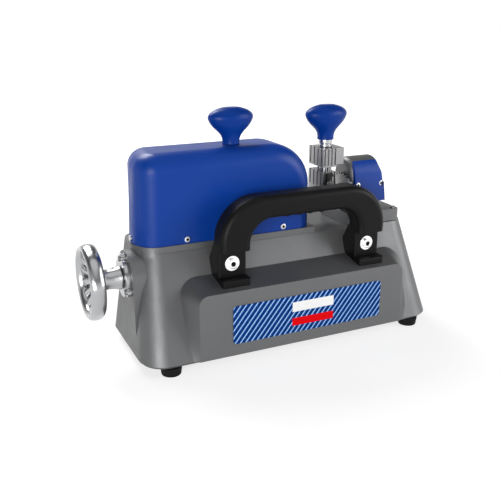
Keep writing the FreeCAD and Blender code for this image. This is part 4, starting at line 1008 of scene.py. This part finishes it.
class Vise(Assembly):
    """The finned jaws, the clamp knob and the key stop."""

    edges = {"lower_jaw": 0.25, "upper_jaw": 0.25, "jaw_pins": 0.3, "clamp_screw": 0.3, "key_stop": 0.4,
             "stop_pin": 0.2}

    def build(self, shop: Workshop) -> None:
        """Makes the pieces."""
        super().build(shop)
        shop.refine("clamp_knob", KNOB_EDGE, domed("clamp_knob"))


@dataclass
class SpindleHead(Assembly):
    """The head with its cover, spindle, cutter, belt and motor.

    Attributes:
        knob_ribs: Ribs round the knob at the spindle's end.
        rib_depth: Depth of a rib.
        knob_rim: Depth of the knob's ring, as a share of its radius.
        knob_squareness: How square the ring's section is, from 0 for a square to 1 for an oval.
        knob_points: Points round the knob.
        cover_edge: Softened edges of the cover.
        cover_lean: How far the cover's free end leans in at its top.
    """

    knob_ribs: int = 26
    rib_depth: float = 0.45 * MM
    knob_rim: float = 0.3
    knob_squareness: float = 0.35
    knob_points: int = 313
    cover_edge: float = 0.7 * MM
    cover_lean: float = 9 * MM
    edges = {"head_plinth": 0.8, "head_cowl": 0.5, "spindle_bearings": 0.3, "spindle": 0.4, "cutter": 0.15,
             "cutter_nut": 0.4, "spindle_pulley": 0.3, "motor_pulley": 0.3, "motor_shaft": 0.3,
             "drive_belt": 0.3, "motor": 1.5, "motor_bracket": 0.5}

    def build(self, shop: Workshop) -> None:
        """Makes the pieces."""
        super().build(shop)
        shop.refine("head_cover", self.cover_edge, self.leaned())
        shop.screws("plinth_screws")
        shop.screws("cover_screws", tone=0.5)
        self.knob(shop)

    def leaned(self) -> Shape:
        """Leans the free end of the cover in above its screws."""
        lowest, highest = box_of("head_cover")
        middle = (lowest.z + highest.z) / 2

        def moved(point: Vector) -> Vector:
            """Leans a point in, more towards the top."""
            along = (highest.x - point.x) / (highest.x - lowest.x)
            up = max(0.0, (point.z - middle) / (highest.z - middle))
            return Vector((point.x + self.cover_lean * along * up, point.y, point.z))

        return moved

    def knob(self, shop: Workshop) -> None:
        """The ribbed chrome knob."""
        lowest, highest = box_of("spindle_knob")
        radius = (highest.z - lowest.z) / 2
        sizes = {"Radius": radius, "Rim": radius * self.knob_rim, "Width": highest.x - lowest.x,
                 "Lobes": self.knob_ribs, "Lobe Depth": self.rib_depth,
                 "Squareness": self.knob_squareness, "Around": self.knob_points}
        ring = shop.forms.ring.make("knob_ring", sizes, shop.paint("spindle_knob"))
        shop.lay("spindle_knob", (ring,), lowest.x)


class Electrics(Assembly):
    """The control board, the power inlet and its rocker."""

    edges = {"board_standoffs": 0.3, "control_board": 0.2, "power_inlet": 0.5, "power_rocker": 0.5}


@dataclass
class Studio:
    """The floor, the light and the camera.

    Attributes:
        camera_place: The camera, in metres.
        camera_aim: The direction that it looks in.
        lens: Its focal length for the sensor, both in millimetres.
        sensor: Width of its sensor.
        clip: Nearest and farthest distance that it sees.
        floor_half: Half the floor's side.
        floor_grey: Base colour of the floor.
        floor_roughness: Roughness of the floor.
        floor_glow: How much of the floor's white near the machine doesn't depend on the light.
        glow_rise: Distances from the centre between which the glow rises to 1.
        sky: Strength of the soft light at the horizon and overhead.
        sky_rise: Heights of a direction between which the soft light changes.
        ceiling: Strength of the reflected white overhead.
        ceiling_rise: Heights of a direction between which the reflected white drops to that.
        overhead: Direction of a white patch overhead that only reflections show.
        overhead_edge: Cosines of the angles where the patch starts and is full.
        lamp_aim: The place that the lamps point at.
        lamps: Each soft lamp's name, place, side in metres and power in watts.
    """

    camera_place: Triple = (0.3123, 0.6483, 0.3343)
    camera_aim: Triple = (-0.4008, -0.8595, -0.3173)
    lens: float = 50.4
    sensor: float = 36.0
    clip: Span = (0.01, 50.0)
    floor_half: float = 8.0
    floor_grey: float = 0.42
    floor_roughness: float = 0.9
    floor_glow: float = 0.72
    glow_rise: Span = (0.3, 1.3)
    sky: Span = (0.45, 0.06)
    sky_rise: Span = (0.0, 0.6)
    ceiling: float = 0.12
    ceiling_rise: Span = (0.1, 0.6)
    overhead: Triple = (-0.04, 0.4, 0.915)
    overhead_edge: Span = (0.8, 0.93)
    lamp_aim: Triple = (0.0, 0.0, 0.1)
    lamps: tuple[tuple[str, Triple, float, float], ...] = (
        ("left_softbox", (0.85, 1.1, 0.32), 0.6, 12.0),
        ("right_softbox", (-1.1, 0.8, 0.55), 0.8, 10.0),
        ("back_softbox", (0.25, -1.1, 1.3), 0.8, 24.0),
    )

    def build(self) -> None:
        """Makes the whole studio."""
        self._floor()
        self._world()
        self._lamps()
        self._camera()

    @staticmethod
    def _seen(sheet: NodeSheet) -> NodeSocket:
        """1 for rays from the camera, from polished faces and through glass."""
        path = sheet.add("ShaderNodeLightPath").outputs
        bright = sheet.math("MAXIMUM", path["Is Camera Ray"], path["Is Glossy Ray"])
        return sheet.math("MAXIMUM", bright, path["Is Transmission Ray"])

    @staticmethod
    def _pointed(name: str, data: ID, place: Triple, aim: Vector) -> Object:
        """Puts a lamp or a camera at a place, looking in a direction."""
        item = put(name, data)
        item.location = place
        item.rotation_mode = "QUATERNION"
        item.rotation_quaternion = aim.to_track_quat("-Z", "Y")
        return item

    def _floor(self) -> None:
        """A plain white floor that keeps the machine's shadow."""
        half = self.floor_half
        mesh = bpy.data.meshes.new("floor")
        mesh.from_pydata([(-half, -half, 0), (half, -half, 0), (half, half, 0), (-half, half, 0)], [],
                         [(0, 1, 2, 3)])
        floor = put("floor", mesh)
        material = bpy.data.materials.new("white_floor")
        material.use_nodes = True
        sheet = NodeSheet(material.node_tree)
        shader = material.node_tree.nodes["Principled BSDF"].inputs
        shader["Base Color"].default_value = (self.floor_grey, self.floor_grey, self.floor_grey, 1.0)
        shader["Roughness"].default_value = self.floor_roughness
        shader["Specular IOR Level"].default_value = 0.0
        shader["Emission Color"].default_value = WHITE
        away = sheet.vector("LENGTH", sheet.place()).outputs["Value"]
        glow = sheet.ramp(away, *self.glow_rise, self.floor_glow, 1.0, smooth=True)
        sheet.feed(shader["Emission Strength"], sheet.times(self._seen(sheet), glow))
        mesh.materials.append(material)

    def _world(self) -> None:
        """White behind the machine and in its reflections, and a softer light that is dimmer overhead."""
        world = bpy.data.worlds.new("studio_world")
        bpy.context.scene.world = world
        world.use_nodes = True
        world.node_tree.nodes.clear()
        sheet = NodeSheet(world.node_tree)
        place = sheet.add("ShaderNodeTexCoord").outputs["Generated"]
        height = sheet.add("ShaderNodeSeparateXYZ", Vector=place).outputs["Z"]
        soft = sheet.ramp(height, *self.sky_rise, *self.sky)
        light = sheet.add("ShaderNodeBackground", Color=WHITE, Strength=soft)
        camera = sheet.add("ShaderNodeLightPath").outputs["Is Camera Ray"]
        ceiling = sheet.ramp(height, *self.ceiling_rise, 1.0, self.ceiling, smooth=True)
        facing = sheet.vector("DOT_PRODUCT", place, self.overhead).outputs["Value"]
        patch = sheet.ramp(facing, *self.overhead_edge, 0.0, 1.0, smooth=True)
        shown = sheet.math("MAXIMUM", camera, sheet.math("MAXIMUM", ceiling, patch))
        white = sheet.add("ShaderNodeBackground", Color=WHITE, Strength=shown)
        mix = sheet.add("ShaderNodeMixShader", Fac=self._seen(sheet))
        sheet.feed(mix.inputs[1], light)
        sheet.feed(mix.inputs[2], white)
        sheet.add("ShaderNodeOutputWorld", Surface=mix)

    def _lamps(self) -> None:
        """Soft lamps to the left, to the right and from above behind the machine."""
        for name, place, size, power in self.lamps:
            lamp = bpy.data.lights.new(name, "AREA")
            lamp.shape = "SQUARE"
            lamp.size = size
            lamp.energy = power
            self._pointed(name, lamp, place, Vector(self.lamp_aim) - Vector(place))

    def _camera(self) -> None:
        """The camera at the photograph's viewing angle."""
        lens = bpy.data.cameras.new("photo_camera")
        lens.lens = self.lens
        lens.sensor_width = self.sensor
        lens.clip_start, lens.clip_end = self.clip
        camera = self._pointed("photo_camera", lens, self.camera_place, Vector(self.camera_aim))
        bpy.context.scene.camera = camera


def main() -> None:
    """Builds every sub-assembly, then the studio."""
    logging.basicConfig(level=logging.INFO, format="%(message)s")
    bpy.context.scene.view_settings.view_transform = "Standard"
    shop = Workshop()
    for assembly in (CastBase(), Hood(), CarryHandle(), FeedDrive(), Vise(), SpindleHead(), Electrics()):
        log.info("building %s", type(assembly).__name__)
        assembly.build(shop)
    Studio().build()


if __name__ == "__main__":
    main()
